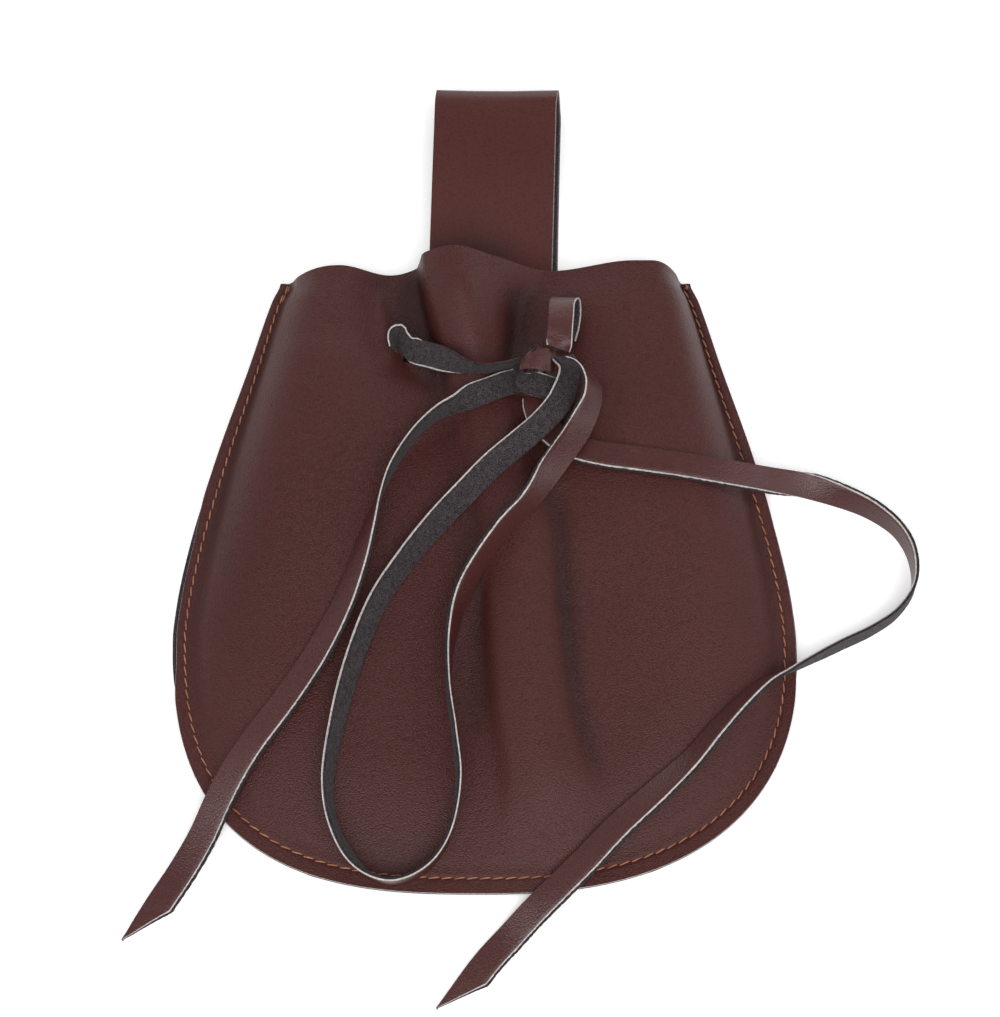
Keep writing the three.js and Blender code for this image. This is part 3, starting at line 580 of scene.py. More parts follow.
# Cross-sections of the front, mouth first: share of the length, then places across as shares of half
# the full width, then heights as shares of the crest. Left lobe, left valley, foot and brow of the
# pinched fold's steep flank, its crest, its easy flank, right valley, right lobe.
frontSections = [
    (0, (-0.487, -0.321, -0.23, -0.207, -0.1, 0.03, 0.22, 0.497),
     (0.543, 0.3, 0.46, 0.82, 1, 0.76, 0.405, 0.655)),
    (0.06, (-0.487, -0.3, -0.215, -0.186, -0.085, 0.024, 0.13, 0.497),
     (0.555, 0.3, 0.38, 0.79, 0.98, 0.74, 0.365, 0.66)),
    (0.115, (-0.487, -0.26, -0.19, -0.155, -0.062, 0.03, 0.108, 0.495),
     (0.57, 0.31, 0.37, 0.71, 0.87, 0.67, 0.335, 0.66)),
    (0.17, (-0.492, -0.215, -0.155, -0.118, -0.04, 0.03, 0.1, 0.492),
     (0.6, 0.375, 0.405, 0.6, 0.72, 0.58, 0.37, 0.655)),
    (0.24, (-0.513, -0.165, -0.13, -0.09, -0.021, 0.038, 0.118, 0.5),
     (0.6, 0.465, 0.48, 0.57, 0.62, 0.57, 0.455, 0.64)),
    (0.32, (-0.535, -0.13, -0.09, -0.05, 0.02, 0.085, 0.165, 0.513),
     (0.595, 0.475, 0.49, 0.56, 0.6, 0.57, 0.47, 0.62)),
    (0.45, (-0.556, -0.085, -0.035, 0.012, 0.1, 0.17, 0.245, 0.535),
     (0.55, 0.44, 0.455, 0.545, 0.61, 0.56, 0.445, 0.57)),
    (0.57, (-0.578, -0.07, -0.015, 0.028, 0.115, 0.19, 0.272, 0.556),
     (0.48, 0.385, 0.4, 0.515, 0.585, 0.525, 0.385, 0.5)),
    (0.73, (-0.556, -0.06, 0.005, 0.055, 0.15, 0.225, 0.31, 0.556),
     (0.39, 0.32, 0.34, 0.45, 0.515, 0.455, 0.34, 0.4)),
    (0.855, (-0.492, -0.06, 0.035, 0.095, 0.193, 0.289, 0.385, 0.53),
     (0.3, 0.27, 0.29, 0.365, 0.415, 0.37, 0.295, 0.31)),
    (0.945, (-0.385, -0.086, 0.02, 0.09, 0.193, 0.278, 0.364, 0.449),
     (0.22, 0.21, 0.22, 0.25, 0.27, 0.255, 0.22, 0.215)),
    (1, (-0.385, -0.086, 0.02, 0.09, 0.193, 0.278, 0.364, 0.449),
     (0.15, 0.15, 0.15, 0.15, 0.15, 0.15, 0.15, 0.15)),
]


def frontHeight(x, y):
    points = np.stack([x, y], 1)
    down = np.clip((pouch["mouthY"] - y) / pouch["length"], 0, 1)
    shares = np.array([row[0] for row in frontSections])
    xs, hs = (np.stack([easedCurve(shares, [row[part][k] for row in frontSections], down)
                        for k in range(8)], 1) for part in (1, 2))
    fold = easedCurve(xs * pouch["fullWidth"] / 2, hs * pouch["crest"], x)
    seam = 2 * pouch["leather"] + pouch["layerGap"] + strapLift(x, y)
    flange = pouch["flange"][0] + np.ptp(pouch["flange"]) * smoothStep(0, pouch["flangeDown"], down)
    atMouth = np.where(x < 0, *pouch["shoulderMouth"])
    shoulder = atMouth + (pouch["shoulderBottom"] - atMouth) * smoothStep(0, pouch["shoulderDown"], down)
    edge = np.minimum(lineDistance(points, leftOutline), lineDistance(points, rightOutline))
    inward = np.clip((edge - flange) / shoulder, 0, 1)
    moulded = 1 - (1 - inward) ** pouch["bulge"]
    moulded = moulded * smoothStep(pouch["footStart"], pouch["footRound"], inward)
    height = seam + (np.maximum(fold, seam + pouch["leastFoldRise"]) - seam) * moulded
    return height + creaseHeight(points) * moulded - grooveAt(points)


# Distance of the seam from the cut edge, by the share of the length down
seamInset = [(0, 0.0023), (0.3, 0.0033), (0.7, 0.0038), (1, 0.0046)]


# The seam's line from the left mouth corner round the bottom to the right one
def makeSeamLine():
    sides = []
    for line in (leftOutline, rightOutline):
        along = unit(np.gradient(line, axis=0))
        inward = np.stack([-along[:, 1], along[:, 0]], 1)
        inward *= np.sign((inward * -line).sum(1, keepdims=True).sum())
        inset = easedTable(seamInset, (pouch["mouthY"] - line[:, 1]) / pouch["length"])
        sides.append(line + inward * inset[:, None])
    return np.vstack([sides[0], sides[1][::-1][1:]])


seamLine = makeSeamLine()


# Plan of a panel as a grid, closer together near its seams
def planGrid(columns, rows):
    crowding = pouch["crowding"]
    t = np.linspace(-1, 1, columns + 1)
    s = np.linspace(0, 1, rows + 1)
    across = (1 - crowding) * t + crowding * np.sin(t * math.pi / 2)
    down = (1 - crowding) * s + crowding * np.sin(s * math.pi / 2)
    share = pouch["cornerShare"]
    left = alongLine(leftOutline, down * share)[:, None]
    right = alongLine(rightOutline, down * share)[:, None]
    u = ((across + 1) / 2)[None, :, None]
    low = share + (1 - share) * (1 - np.abs(across))
    bottom = np.where((across < 0)[:, None], alongLine(leftOutline, low), alongLine(rightOutline, low))[None]
    top = leftOutline[0] + (rightOutline[0] - leftOutline[0]) * u
    corners = left[-1:] + (right[-1:] - left[-1:]) * u
    d = down[:, None, None]
    return left + (right - left) * u + top + (bottom - top) * d - (top + (corners - top) * d)


def gridNormals(grid):
    normals = unit(np.cross(np.gradient(grid, axis=0), np.gradient(grid, axis=1)))
    return normals * np.sign(normals[..., 2:])


def rimOf(rows, columns):
    width = columns + 1
    down = [r * width for r in range(rows)]
    low = [rows * width + c for c in range(columns)]
    up = [r * width + columns for r in range(rows, 0, -1)]
    top = list(range(columns, 0, -1))
    return np.array(down + low + up + top)


# How deep each place of a height grid lies under the mean of its surroundings, in millimetres
def hollowDepth(heights, reach):
    mean = heights
    for axis in (0, 1):
        padded = np.pad(mean, [(reach, reach) if k == axis else (0, 0) for k in (0, 1)], mode="edge")
        total = np.cumsum(np.insert(padded, 0, 0, axis), axis)
        count = heights.shape[axis]
        high = np.take(total, np.arange(2 * reach + 1, 2 * reach + 1 + count), axis)
        mean = (high - np.take(total, np.arange(count), axis)) / (2 * reach + 1)
    return (mean - heights) * 1000


# Leather panel between its coated grid and its suede grid, with the layers of its cut edge
def makePanel(name, coated, suede, materials, seed):
    rows, columns = coated.shape[0] - 1, coated.shape[1] - 1
    width = columns + 1
    random = np.random.RandomState(seed)
    front = coated.reshape(-1, 3)
    back = suede.reshape(-1, 3)
    rim = rimOf(rows, columns)
    outward = front[rim] - coated[1:-1, 1:-1].reshape(-1, 3).mean(0)
    along = unit(np.roll(front[rim], -1, 0) - np.roll(front[rim], 1, 0))
    outward = unit(outward - (outward * along).sum(1, keepdims=True) * along)
    outward[:, 2] = 0
    layers = []
    share = pouch["coat"] / pouch["leather"]
    for ofCoat, ofLeather, ledge, fuzzy in pouch["rimLayers"]:
        depth = ofCoat * share + ofLeather
        fuzz = random.uniform(-1, 1, (len(rim), 1)) * pouch["fuzz"] * fuzzy
        layers.append(front[rim] * (1 - depth) + back[rim] * depth + outward * (ledge + fuzz))
    points = np.vstack([front, back] + layers)
    i = (np.arange(rows)[:, None] * width + np.arange(columns)).ravel()
    flip = front[:, 2].mean() < back[:, 2].mean()
    quads = np.stack([i, i + width, i + width + 1, i + 1], 1)
    other = np.stack([i, i + 1, i + width + 1, i + width], 1) + len(front)
    inner = [2 * len(front) + k * len(rim) + np.arange(len(rim)) for k in range(4)]
    loops = [rim] + inner + [rim + len(front)]
    walls = [np.stack([a, b, np.roll(b, -1), np.roll(a, -1)], 1) for a, b in zip(loops[:-1], loops[1:])]
    faces = np.vstack([quads, other] + walls)
    paints = [brown] * len(quads) + [nap] * len(other)
    for paint in (pale, pale, pale, cutSuede, cutSuede):
        paints += [paint] * len(rim)
    if flip:
        faces = faces[:, ::-1]
    return makePiece(name, points, faces.tolist(), paints, materials)


thread = {
    "pitch": 0.0037,
    "length": 0.0037,
    "radius": 0.00022,
    "slant": 9,  # degrees off the seam's line
    "rise": 0.00022,
    "dip": 0.0005,  # how far a stitch's ends go into their holes
    "ahead": 0.6,  # share of the pitch that tells the line's direction, from the stitch's middle at 0.5
    "probe": 0.001,  # distance over which the height's slope is taken
    "rings": 11,
    "sides": 8,
    "endRound": 6,  # the higher, the blunter a stitch's ends
    "endRadius": 0.02,  # square of the share of the radius left at the very end
    "plySwell": 0.16,
    "plyTwist": 5,
    "strapInset": 0.0035,
    "strapPitch": 0.0036,
    "strapDepth": 0.00048,
    "tackStitches": 2,  # doubled at the left mouth corner
    "tackBeside": 0.0007,
    "tackLift": 0.0001,
    "knot": (0.0639, 0.0645),
    "knotLength": 0.0016,
    "knotLift": 0.0002,
    "knotTurns": [(0, 1, 0.6, 0), (0.0003, 0.5, -1, 0), (0, -0.2, 1, 0.2)],  # height on the knot, direction
}


# Thread of round stitches: rows of middle, direction and the face's outward direction
def makeStitches(name, stitches, material, length=None):
    rings, sides = thread["rings"], thread["sides"]
    length = length or thread["length"]
    s = np.linspace(-1, 1, rings)
    angle = np.arange(sides) * 2 * math.pi / sides
    radius = thread["radius"] * np.sqrt(np.clip(1 - s ** thread["endRound"], thread["endRadius"], 1))
    twist = 1 + thread["plySwell"] * np.cos(2 * angle[None, :] + thread["plyTwist"] * s[:, None])
    oneStitch = ringFaces(rings, sides, [[0] * sides] * rings)[0]
    points, faces = [], []
    for middle, direction, outward in stitches:
        direction = unit(np.array(direction, float))
        outward = unit(outward - np.dot(outward, direction) * direction)
        beside = np.cross(direction, outward)
        line = (middle + direction * (s * length / 2)[:, None]
                + outward * (thread["rise"] - thread["dip"] * np.abs(s) ** 3)[:, None])
        ring = (radius[:, None] * twist)[..., None]
        start = len(points) * rings * sides
        points.append((line[:, None] + ring * (np.cos(angle)[None, :, None] * beside
                                               + np.sin(angle)[None, :, None] * outward)).reshape(-1, 3))
        faces += [tuple(start + corner for corner in face) for face in oneStitch]
    return makePiece(name, np.vstack(points), faces, [0] * len(faces), [material], sharp=80)


# Stitches walked along a line in plan, lying on a height
def stitchesAlong(line, heightAt, pitch, slant, side):
    run = runAlong(line)
    count = int(run[-1] / pitch)
    middles = alongLine(line, (np.arange(count) + 0.5) * pitch / run[-1])
    ahead = alongLine(line, (np.arange(count) + thread["ahead"]) * pitch / run[-1]) - middles
    c, s = math.cos(math.radians(slant)), math.sin(math.radians(slant))
    probe = thread["probe"]
    rows = []
    for (x, y), (dx, dy) in zip(middles, ahead):
        direction = np.array([dx * c - dy * s, dx * s + dy * c, 0])
        near = heightAt(np.array([x, x + probe * dx / math.hypot(dx, dy)]),
                        np.array([y, y + probe * dy / math.hypot(dx, dy)]))
        direction = unit(direction) + np.array([0, 0, (near[1] - near[0]) / probe])
        rows.append((np.array([x, y, near[0]]), direction, np.array([0, 0, side])))
    return rows


# How far a panel's cut edge lies outside the outline, by the share of the length down. The front's stays
# inside the back's on the left, so that the back's grey inner face shows, and the back's at the bottom.
rimShifts = {
    "front": [(0, 0), (0.36, 0), (0.46, -0.0012), (0.64, -0.0013), (0.71, -0.0002), (1, 0)],
    "back": [(0, 0), (0.3, 0), (0.45, 0.0002), (0.64, 0.0001), (0.72, -0.0008), (0.8, -0.0013),
             (1, -0.0013)],
}


# How near a point of a plan grid lies to its sewn rim
def nearRim(shape):
    columns = np.abs(np.linspace(-1, 1, shape[1]))[None, :] * np.ones((shape[0], 1))
    rows = np.linspace(0, 1, shape[0])[:, None] * np.ones((1, shape[1]))
    return np.maximum(columns, rows) ** pouch["rimPower"]


# Plan of a panel with its edge shifted, less on the right, or inward by the whole shift on both sides
def shiftedPlan(name, wholeInward):
    plan = planGrid(*pouch[name + "Grid"])
    down = (pouch["mouthY"] - plan[..., 1]) / pouch["length"]
    shift = easedTable(rimShifts[name], down.ravel()).reshape(down.shape)
    whole = (plan[..., 0] < 0) | (wholeInward & (shift < 0))
    shift = shift * np.where(whole, 1, pouch["rightShift"]) * nearRim(plan.shape)
    return plan + unit(plan - np.array(pouch["planMiddle"])) * shift[..., None]


# Writes the point attribute of painted shade, which darkens the leather's colour where it is high
def markPaintedShade(piece, values):
    mask = piece.data.attributes.new("paintedShade", "FLOAT", "POINT")
    mask.data.foreach_set("value", np.pad(values, (0, len(piece.data.vertices) - len(values))))


def makeFrontPanel(materials):
    plan = shiftedPlan("front", False)
    heights = frontHeight(*plan.reshape(-1, 2).T).reshape(plan.shape[:2])
    coated = np.dstack([plan, heights])
    normals = gridNormals(coated)
    normals[:, [0, -1]] = (0, 0, 1)
    normals[-1] = (0, 0, 1)
    normals[0, 1:-1, 1] = 0
    suede = coated - unit(normals) * pouch["leather"]
    panel = makePanel("front_leather", coated, suede, materials, seeds["front"])
    # Painted shade: the front's colour darkens where it lies deep under its surroundings
    markPaintedShade(panel, hollowDepth(heights, pouch["hollowReach"]).ravel())
    return panel


def backUnderside(x, y):
    return strapLift(x, y) + grooveAt(np.stack([x, y], 1))


def makeBackPanel(materials):
    plan = shiftedPlan("back", True)
    x, y = plan.reshape(-1, 2).T
    coated, suede = (np.dstack([plan, height.reshape(plan.shape[:2])])
                     for height in (backUnderside(x, y), strapLift(x, y) + pouch["leather"]))
    return makePanel("back_leather", coated, suede, materials, seeds["back"])


# Middle line of the strap from its upper sewn end over the bend to its lower sewn end
def strapRoute():
    low = strap["thickness"] / 2
    sewnHeight = low + strap["thickness"] + pouch["layerGap"]
    top = strap["bendHeight"] - low
    radius = (top - low) / 2
    bendY = pouch["mouthY"] + strap["rise"] - low - radius
    endY = pouch["mouthY"] - strap["sewn"]

    def row(y, z, offset):
        lean = strap["lean"] * min(1, max(0, (y - pouch["mouthY"]) / strap["rise"]))
        return (strap["shift"] + lean + offset, y, z, -1, 0, 0)

    rows = [row(y, sewnHeight, 0) for y in (endY, endY + strap["sewn"] / 2, pouch["mouthY"])]
    for i in range(strap["riseSteps"]):
        t = (i + 1) / strap["riseSteps"]
        eased = t * t * (3 - 2 * t) * (1 - t) + math.sin(t * math.pi / 2) * t
        rows.append(row(pouch["mouthY"] + (bendY - pouch["mouthY"]) * t,
                        sewnHeight + (top - sewnHeight) * eased, 0))
    for i in range(1, strap["bendSteps"]):
        turn = i / strap["bendSteps"] * math.pi
        rows.append(row(bendY + radius * math.sin(turn), low + radius * (1 + math.cos(turn)),
                        strap["strandOffset"] * i / strap["bendSteps"]))
    for share in strap["lowShares"]:
        rows.append(row(bendY + (endY - bendY) * share, low, strap["strandOffset"]))
    return rows


def makeStrap(materials):
    section, paints = stripSection(strap["width"], strap["thickness"], strap["coat"], strap["ledges"],
                                   0, strap["faceSteps"])
    route = sampleRoute(strapRoute(), strap["step"])
    rings = len(route[3])
    belt = sweepStrip("strap_leather", route, np.repeat(section[None], rings, 0), [paints] * rings,
                      materials, strap["fuzz"], seeds["strap"])[0]
    # Painted shadow: the strap darkens near the mouth, where the lip shades it
    places = np.array([vertex.co for vertex in belt.data.vertices])
    lipShadow = 1 - smoothStep(*strap["lipShadowReach"], places[:, 1] - pouch["mouthY"])
    lipShadow *= np.exp(-((places[:, 0] - strap["lipShadowMiddle"]) / strap["lipShadowWidth"]) ** 2)
    markPaintedShade(belt, lipShadow * strap["lipShadow"])
    return belt


# Strip of lace with a width and its ledges and skirts at each sample of the route
def sweepLace(name, route, widths, edges, crown, turnedOver, materials, seed, tip=0):
    rings = [stripSection(width, lace["thickness"], lace["coat"], edge[:2], crown, lace["faceSteps"],
                          turnedOver, edge[2:]) for width, edge in zip(widths, edges)]
    sections, paints = zip(*rings)
    return sweepStrip(name, route, np.array(sections), paints, materials, lace["fuzz"], seed, tip)


def makeLace(name, materials, seed):
    route = sampleRoute(laceRoutes[name], lace["step"])
    distances, *columns = np.array(lace["ledges"][name]).T
    edges = np.stack([np.interp(route[3], distances, column) for column in columns], 1)
    tip = lace["tip"] if name.endswith("tail") else 0
    return sweepLace(name + "_leather", route, [lace["width"]] * len(edges), edges, lace["crown"],
                     name in lace["suedeUp"], materials, seed, tip)


# Flat fold of the lace that closes the knot, brown side out and narrowing to the left
knotFold = {
    "rows": [
        (0.0197, 0.0277, 0.0234, -0.05, -1, -0.25),
        (0.0166, 0.0271, 0.0243, 0, -1, -0.2),
        (0.0136, 0.0265, 0.0242, 0.1, -1, 0),
        (0.0117, 0.0262, 0.0228, 0.2, -1, 0.2),
    ],
    "widths": [(0, 0.0072), (0.35, 0.0066), (0.7, 0.005), (1, 0.0034)],  # share of the way, width
    "edges": (-0.0005, -0.0005, 0, 0),
    "crown": 0.0003,
}


def makeKnotFold(materials):
    route = sampleRoute(knotFold["rows"], lace["step"])
    widths = easedTable(knotFold["widths"], route[3] / route[3][-1])
    return sweepLace("lace_knot_fold", route, widths, [knotFold["edges"]] * len(widths), knotFold["crown"],
                     False, materials, seeds["knotFold"])[0]


# Slits cut through the front for the lace
slit = {
    "places": [(-0.0211, 0.0347, 84), (0.0174, 0.0294, -30)],  # middle in plan and turn in degrees
    "size": (0.0022, 0.0089, 0.024),  # width, length and height of the cutter
}


def cutSlits(front):
    cutters = []
    wide, long, deep = (size / 2 for size in slit["size"])
    for x, y, turn in slit["places"]:
        z = frontHeight(np.array([x]), np.array([y]))[0]
        corners = [(sx * wide, sy * long, sz * deep) for sx in (-1, 1) for sy in (-1, 1) for sz in (-1, 1)]
        c, s = math.cos(math.radians(turn)), math.sin(math.radians(turn))
        points = [(x + a * c - b * s, y + a * s + b * c, z + h) for a, b, h in corners]
        faces = [(0, 1, 3, 2), (4, 6, 7, 5), (0, 4, 5, 1), (2, 3, 7, 6), (0, 2, 6, 4), (1, 5, 7, 3)]
        mesh = bpy.data.meshes.new("slitCutter")
        mesh.from_pydata(points, [], faces)
        for material in front.data.materials:
            mesh.materials.append(material)
        mesh.polygons.foreach_set("material_index", [cutSuede] * 6)
        cutters.append(addObject("slitCutter", mesh))
    for cutter in cutters:
        cut = front.modifiers.new("slit", "BOOLEAN")
        cut.operation = "DIFFERENCE"
        cut.solver = "MANIFOLD"
        cut.object = cutter
    shape = bpy.data.meshes.new_from_object(front.evaluated_get(bpy.context.evaluated_depsgraph_get()))
    front.modifiers.clear()
    front.data = shape
    shape.name = "front_leather"
    for cutter in cutters:
        bpy.data.objects.remove(cutter)
    print("slits cut, front has", len(shape.polygons), "faces")


texture = {
    "warpScale": 420,
    "warpReach": 0.0006,  # how far the cells' corners wander
    "fineShare": 0.6,  # scale of the fine grain, as a share of the cells'
    "clumpShare": 0.25,  # scale of the clumps, as a share of the fibres'
    "mix": (0.82, 0.18),  # fibres and clumps
    "speckle": (0.4, 0.62),
    "crease": (-0.35, 0.55),
}


# Sockets take a constant, or a link from another node's output
def feed(tree, socket, value):
    if isinstance(value, (int, float, tuple)):
        socket.default_value = value
    else:
        tree.links.new(value, socket)


def feedAll(tree, node, **values):
    for key, value in values.items():
        feed(tree, node.inputs[key.replace("_", " ")], value)
    return node


def addNode(tree, kind, settings=None, **values):
    node = tree.nodes.new(kind)
    for key, value in (settings or {}).items():
        setattr(node, key, value)
    return feedAll(tree, node, **values)


def mathNode(tree, operation, *values, kind="ShaderNodeMath", **settings):
    node = addNode(tree, kind, {"operation": operation, **settings})
    for socket, value in zip(node.inputs, values):
        feed(tree, socket, value)
    return node.outputs[0]


def newGroup(name, inputs, outputs):
    group = bpy.data.node_groups.new(name, "ShaderNodeTree")
    for label, value in inputs:
        socket = group.interface.new_socket(label, in_out="INPUT", socket_type="NodeSocketFloat")
        socket.default_value = value
    for label in outputs:
        group.interface.new_socket(label, in_out="OUTPUT", socket_type="NodeSocketFloat")
    place = addNode(group, "ShaderNodeTexCoord").outputs["Object"]
    return group, place, group.nodes.new("NodeGroupInput").outputs, group.nodes.new("NodeGroupOutput")


# Pebbled grain of the coated face: rounded cells of uneven size with fine creases between
def makePebbleGrain():
    group, place, ins, outs = newGroup("Pebble grain", [("Cells", 1300), ("Unevenness", 0.4)],
                                       ["Height", "Cells"])
    warp = addNode(group, "ShaderNodeTexNoise", Vector=place, Scale=texture["warpScale"],
                   Detail=2).outputs["Color"]
    moved = mathNode(group, "MULTIPLY_ADD", warp, (texture["warpReach"],) * 3, place,
                     kind="ShaderNodeVectorMath")
    cells = addNode(group, "ShaderNodeTexVoronoi", {"feature": "F1"}, Vector=moved,
                    Scale=ins["Cells"]).outputs["Distance"]
    fine = addNode(group, "ShaderNodeTexNoise", Vector=place, Detail=3, Roughness=0.6,
                   Scale=mathNode(group, "MULTIPLY", ins["Cells"], texture["fineShare"])).outputs[0]
    dome = mathNode(group, "SUBTRACT", 1, cells)
    uneven = mathNode(group, "MULTIPLY", fine, ins["Unevenness"])
    feedAll(group, outs, Height=mathNode(group, "ADD", dome, uneven), Cells=cells)
    return group


# Slow drift of tone over the leather
def makeToneDrift():
    group, place, ins, outs = newGroup("Tone drift", [("Patches", 18), ("Contrast", 1.6)], ["Tone"])
    broad = addNode(group, "ShaderNodeTexNoise", Vector=place, Scale=ins["Patches"], Detail=4,
                    Roughness=0.55).outputs[0]
    centred = mathNode(group, "SUBTRACT", broad, 0.5)
    stretched = mathNode(group, "MULTIPLY", centred, ins["Contrast"])
    feedAll(group, outs, Tone=mathNode(group, "ADD", stretched, 0.5, use_clamp=True))
    return group


# Short napped fibres of the suede side: speckle for the colour and height
def makeNapSpeckle():
    group, place, ins, outs = newGroup("Nap speckle", [("Fibres", 2200)], ["Speckle", "Height"])
    fibres = addNode(group, "ShaderNodeTexNoise", Vector=place, Scale=ins["Fibres"], Detail=4,
                     Roughness=0.75).outputs[0]
    clumps = addNode(group, "ShaderNodeTexNoise", Vector=place, Detail=2, Roughness=0.5,
                     Scale=mathNode(group, "MULTIPLY", ins["Fibres"], texture["clumpShare"])).outputs[0]
    parts = [mathNode(group, "MULTIPLY", *pair) for pair in zip((fibres, clumps), texture["mix"])]
    low, high = texture["speckle"]
    speckle = mapped(group, mathNode(group, "ADD", *parts), From_Min=low, From_Max=high)
    feedAll(group, outs, Speckle=speckle, Height=fibres)
    return group


def mapped(tree, value, **ends):
    return addNode(tree, "ShaderNodeMapRange", Value=value, **ends).outputs[0]


def mixColours(tree, share, first, second):
    mix = addNode(tree, "ShaderNodeMix", {"data_type": "RGBA"})
    for place, value in ((0, share), (6, first), (7, second)):  # sockets of a mix of colours
        feed(tree, mix.inputs[place], value)
    return mix.outputs[2]


def placeGroup(tree, group, **values):
    return addNode(tree, "ShaderNodeGroup", {"node_tree": group}, **values).outputs


def bumped(tree, height, strength, distance):
    return addNode(tree, "ShaderNodeBump", Height=height, Strength=strength, Distance=distance).outputs[0]


def linear(red, green, blue):
    values = [v / 255 for v in (red, green, blue)]
    return tuple(v / 12.92 if v <= 0.04045 else ((v + 0.055) / 1.055) ** 2.4 for v in values) + (1,)


def newMaterial(name):
    material = bpy.data.materials.new(name)
    material.use_nodes = True
    tree = material.node_tree
    return material, tree, tree.nodes["Principled BSDF"]


pebbleGrain = makePebbleGrain()
toneDrift = makeToneDrift()
napSpeckle = makeNapSpeckle()

coatedLook = {
    "panel": {"dark": (65, 29, 26), "light": (76, 36, 33), "crease": (38, 16, 14), "cells": 2100,
              "bump": 0.85, "depth": 0.00019, "rough": (0.36, 0.46), "specular": 0.27, "paintedShade": 0.68},
    "strap": {"dark": (72, 34, 31), "light": (80, 39, 36), "crease": (50, 23, 21), "cells": 1500,
              "bump": 0.25, "depth": 0.0001, "rough": (0.42, 0.5), "specular": 0.3, "paintedShade": 0.5},
    "lace": {"dark": (66, 30, 28), "light": (76, 36, 33), "crease": (44, 20, 18), "cells": 2100,
             "bump": 0.7, "depth": 0.00015, "rough": (0.3, 0.42), "specular": 0.5, "paintedShade": 0},
}
paintedShadeTone = {"colour": (26, 8, 7), "from": 0.2, "to": 2.3}  # painted shade: its colour, and millimetres deep where it starts and is full


# Smooth coated leather with a pebbled grain, a drift of tone, darker creases between the cells, and painted
# shade in hollows and under the lip
def makeCoated(name, look):
    material, tree, surface = newMaterial(name)
    grain = placeGroup(tree, pebbleGrain, Cells=look["cells"])
    tone = placeGroup(tree, toneDrift)["Tone"]
    base = mixColours(tree, tone, linear(*look["dark"]), linear(*look["light"]))
    creased = mapped(tree, grain["Cells"], To_Min=texture["crease"][0], To_Max=texture["crease"][1])
    base = mixColours(tree, creased, base, linear(*look["crease"]))
    # Painted shade: the colour darkens towards a near-black brown where the shade attribute is high
    if look["paintedShade"]:
        mask = addNode(tree, "ShaderNodeAttribute", {"attribute_name": "paintedShade"}).outputs["Fac"]
        deep = mapped(tree, mask, From_Min=paintedShadeTone["from"], From_Max=paintedShadeTone["to"],
                      To_Max=look["paintedShade"])
        base = mixColours(tree, deep, base, linear(*paintedShadeTone["colour"]))
    feedAll(tree, surface, Base_Color=base, Specular_IOR_Level=look["specular"],
            Roughness=mapped(tree, tone, To_Min=look["rough"][0], To_Max=look["rough"][1]),
            Normal=bumped(tree, grain["Height"], look["bump"], look["depth"]))
    return material


# Napped suede, the pale layer and the thread. Roughness goes from the first value to the second on the
# speckle, and patches of tone take the speckle's place in the thread's colour.
suedeBody = {"bump": 0.8, "depth": 0.0003, "rough": (0.98, 0.88), "specular": 0.15, "sheen": 0.06}
paleBody = {"fibres": 1500, "bump": 0.3, "depth": 0.0002, "rough": (0.7,), "specular": 0.5, "sheen": 0}
fibreLook = {
    "suedeBack": {"dark": (22, 18, 20), "light": (84, 76, 80), "fibres": 3000, **suedeBody},
    "suedeCutEdge": {"dark": (18, 15, 17), "light": (66, 60, 63), "fibres": 3400, **suedeBody},
    "paleCutEdge": {"dark": (158, 150, 148), "light": (206, 200, 196), **paleBody},
    "dullCutEdge": {"dark": (96, 86, 84), "light": (140, 130, 128), **paleBody},
    "seamThread": {"dark": (126, 70, 42), "light": (178, 116, 78), "fibres": 1800, "bump": 0.4,
                   "depth": 0.0002, "rough": (0.55, 0.75), "specular": 0.5, "sheen": 0.2,
                   "patches": 500, "contrast": 2.2},
}


def makeFibrous(name):
    look = fibreLook[name]
    material, tree, surface = newMaterial(name)
    fibres = placeGroup(tree, napSpeckle, Fibres=look["fibres"])
    share, rough = fibres["Speckle"], look["rough"][0]
    if len(look["rough"]) > 1:
        rough = mapped(tree, share, To_Min=rough, To_Max=look["rough"][1])
    if "patches" in look:
        share = placeGroup(tree, toneDrift, Patches=look["patches"], Contrast=look["contrast"])["Tone"]
    feedAll(tree, surface, Base_Color=mixColours(tree, share, linear(*look["dark"]), linear(*look["light"])),
            Roughness=rough, Specular_IOR_Level=look["specular"], Sheen_Weight=look["sheen"],
            Normal=bumped(tree, fibres["Height"], look["bump"], look["depth"]))
    return material


suedeBack, suedeCut, paleEdge, dullEdge, threadMaterial = (makeFibrous(name) for name in fibreLook)
panelLeather = [makeCoated("coatedPanel", coatedLook["panel"]), paleEdge, suedeCut, suedeBack]
strapLeather = [makeCoated("coatedStrap", coatedLook["strap"]), dullEdge, suedeCut, suedeBack]
laceLeather = [makeCoated("coatedLace", coatedLook["lace"]), paleEdge, suedeCut, suedeBack]
print("materials made")


def dress(piece, slot, *nodes):
    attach(piece, "root")
    if nodes:
        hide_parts(*nodes)


laces = {}
for seed, name in enumerate(laceRoutes):
    piece, middle = makeLace(name, laceLeather, seeds["laces"] + seed)
    dress(piece, "lace_leather", name)
    laces[name] = (piece, middle, runAlong(middle)[-1])
dress(makeKnotFold(laceLeather), "lace_leather")
print("lace laid, free lengths", {name: round(laces[name][2], 3) for name in laces})

freeEnds = {"lace_big_loop": "object", "lace_left_tail": "bare", "lace_right_tail": "bare"}
for name, farEnd in freeEnds.items():
    piece, centres, length = laces[name]
    if farEnd == "bare":
        centres = centres[:-lace["tipSteps"]]
        length = runAlong(centres)[-1]

front = makeFrontPanel(panelLeather)
cutSlits(front)
dress(front, "smooth_leather", "front_panel")
back = makeBackPanel(panelLeather)
dress(back, "smooth_leather", "back_panel")
print("panels shaped")

belt = makeStrap(strapLeather)
dress(belt, "smooth_leather", "belt_loop_strap")
print("strap folded")


def sew(name, stitches, length=None):
    dress(makeStitches(name, stitches, threadMaterial, length), "thread")


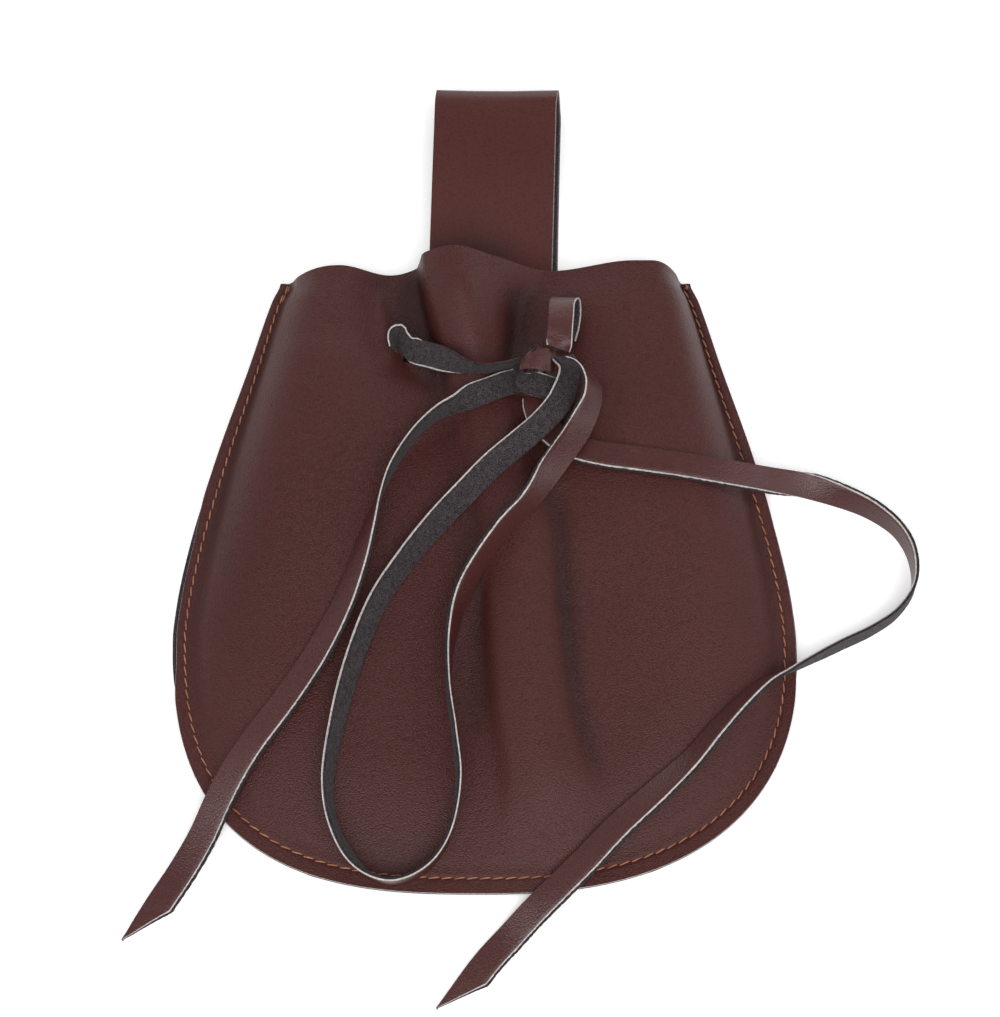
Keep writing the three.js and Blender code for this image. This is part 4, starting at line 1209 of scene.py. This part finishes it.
onTop = stitchesAlong(seamLine, frontHeight, thread["pitch"], thread["slant"], 1)
sew("seam_stitches_front", onTop)
sew("seam_stitches_back", stitchesAlong(seamLine, backUnderside, thread["pitch"], -thread["slant"], -1))
print("seam sewn")

sew("corner_tack", [(middle + np.array([thread["tackBeside"], 0, thread["tackLift"]]), direction, outward)
                    for middle, direction, outward in onTop[:thread["tackStitches"]]])
knotX, knotY = thread["knot"]
knotZ = frontHeight(np.array([knotX]), np.array([knotY]))[0] + thread["knotLift"]
sew("corner_knot", [(np.array([knotX, knotY, knotZ + lift]), direction, np.array([0, 0, 1]))
                    for lift, *direction in thread["knotTurns"]], thread["knotLength"])
print("corners tacked")

strapX = strap["shift"] + strap["strandOffset"]
halfStrap = strap["width"] / 2 - thread["strapInset"]
strapTopY = pouch["mouthY"] - 2 * thread["strapInset"]
strapEndY = pouch["mouthY"] - strap["sewn"] + thread["strapInset"]
sewnBox = np.array([(strapX + side * halfStrap, y) for side, y in
                    ((-1, strapTopY), (-1, strapEndY), (1, strapEndY), (1, strapTopY), (-1, strapTopY))])
sew("strap_stitches", stitchesAlong(sewnBox, lambda x, y: np.full(len(x), thread["strapDepth"]),
                                    thread["strapPitch"], 0, -1))
print("strap sewn on")

studio = {
    "floorSize": 3,
    "floorHeight": -0.0001,
    "floorTone": 0.92,
    "floorRough": 0.9,
    "floorSpecular": 0.1,
    "floorGlow": 0.25,
    "world": 0.25,
    "lights": {
        "front": {"place": (0, -0.92, 1.25), "aim": (0, 0, 0), "size": (1.7, 1.1), "power": 24},
        "left": {"place": (-1.25, 0.1, 0.7), "aim": (0, 0, 0), "size": (0.8, 1.4), "power": 3.8},
        "right": {"place": (1.25, 0.1, 0.7), "aim": (0, 0, 0), "size": (0.6, 1.2), "power": 5.4},
        "far": {"place": (0, 1.4, 0.5), "aim": (0, 0.1, 0), "size": (1.6, 0.5), "power": 8},
    },
}


def makeStudio(look):
    half = look["floorSize"] / 2
    mesh = bpy.data.meshes.new("studioFloor")
    z = look["floorHeight"]
    corners = [(-half, -half, z), (half, -half, z), (half, half, z), (-half, half, z)]
    mesh.from_pydata(corners, [], [(0, 1, 2, 3)])
    floor = addObject("studioFloor", mesh)
    material, tree, surface = newMaterial("paleFloor")
    feedAll(tree, surface, Base_Color=(look["floorTone"],) * 3 + (1,), Emission_Color=(1, 1, 1, 1),
            Emission_Strength=look["floorGlow"], Roughness=look["floorRough"],
            Specular_IOR_Level=look["floorSpecular"])
    mesh.materials.append(material)
    world = bpy.data.worlds.new("studioWorld")
    world.use_nodes = True
    feedAll(world.node_tree, world.node_tree.nodes["Background"], Color=(1, 1, 1, 1), Strength=look["world"])
    scene.world = world
    for name, light in look["lights"].items():
        data = bpy.data.lights.new(name, "AREA")
        data.shape = "RECTANGLE"
        data.size, data.size_y = light["size"]
        data.energy = light["power"]
        lamp = addObject(name, data)
        lamp.location = light["place"]
        aim = [b - a for a, b in zip(light["place"], light["aim"])]
        length = math.sqrt(sum(v * v for v in aim))
        lamp.rotation_euler = (math.acos(-aim[2] / length), 0, math.atan2(aim[1], aim[0]) - math.pi / 2)
    scene.view_settings.view_transform = "Standard"
    scene.view_settings.exposure = 0


makeStudio(studio)
print("studio lit")
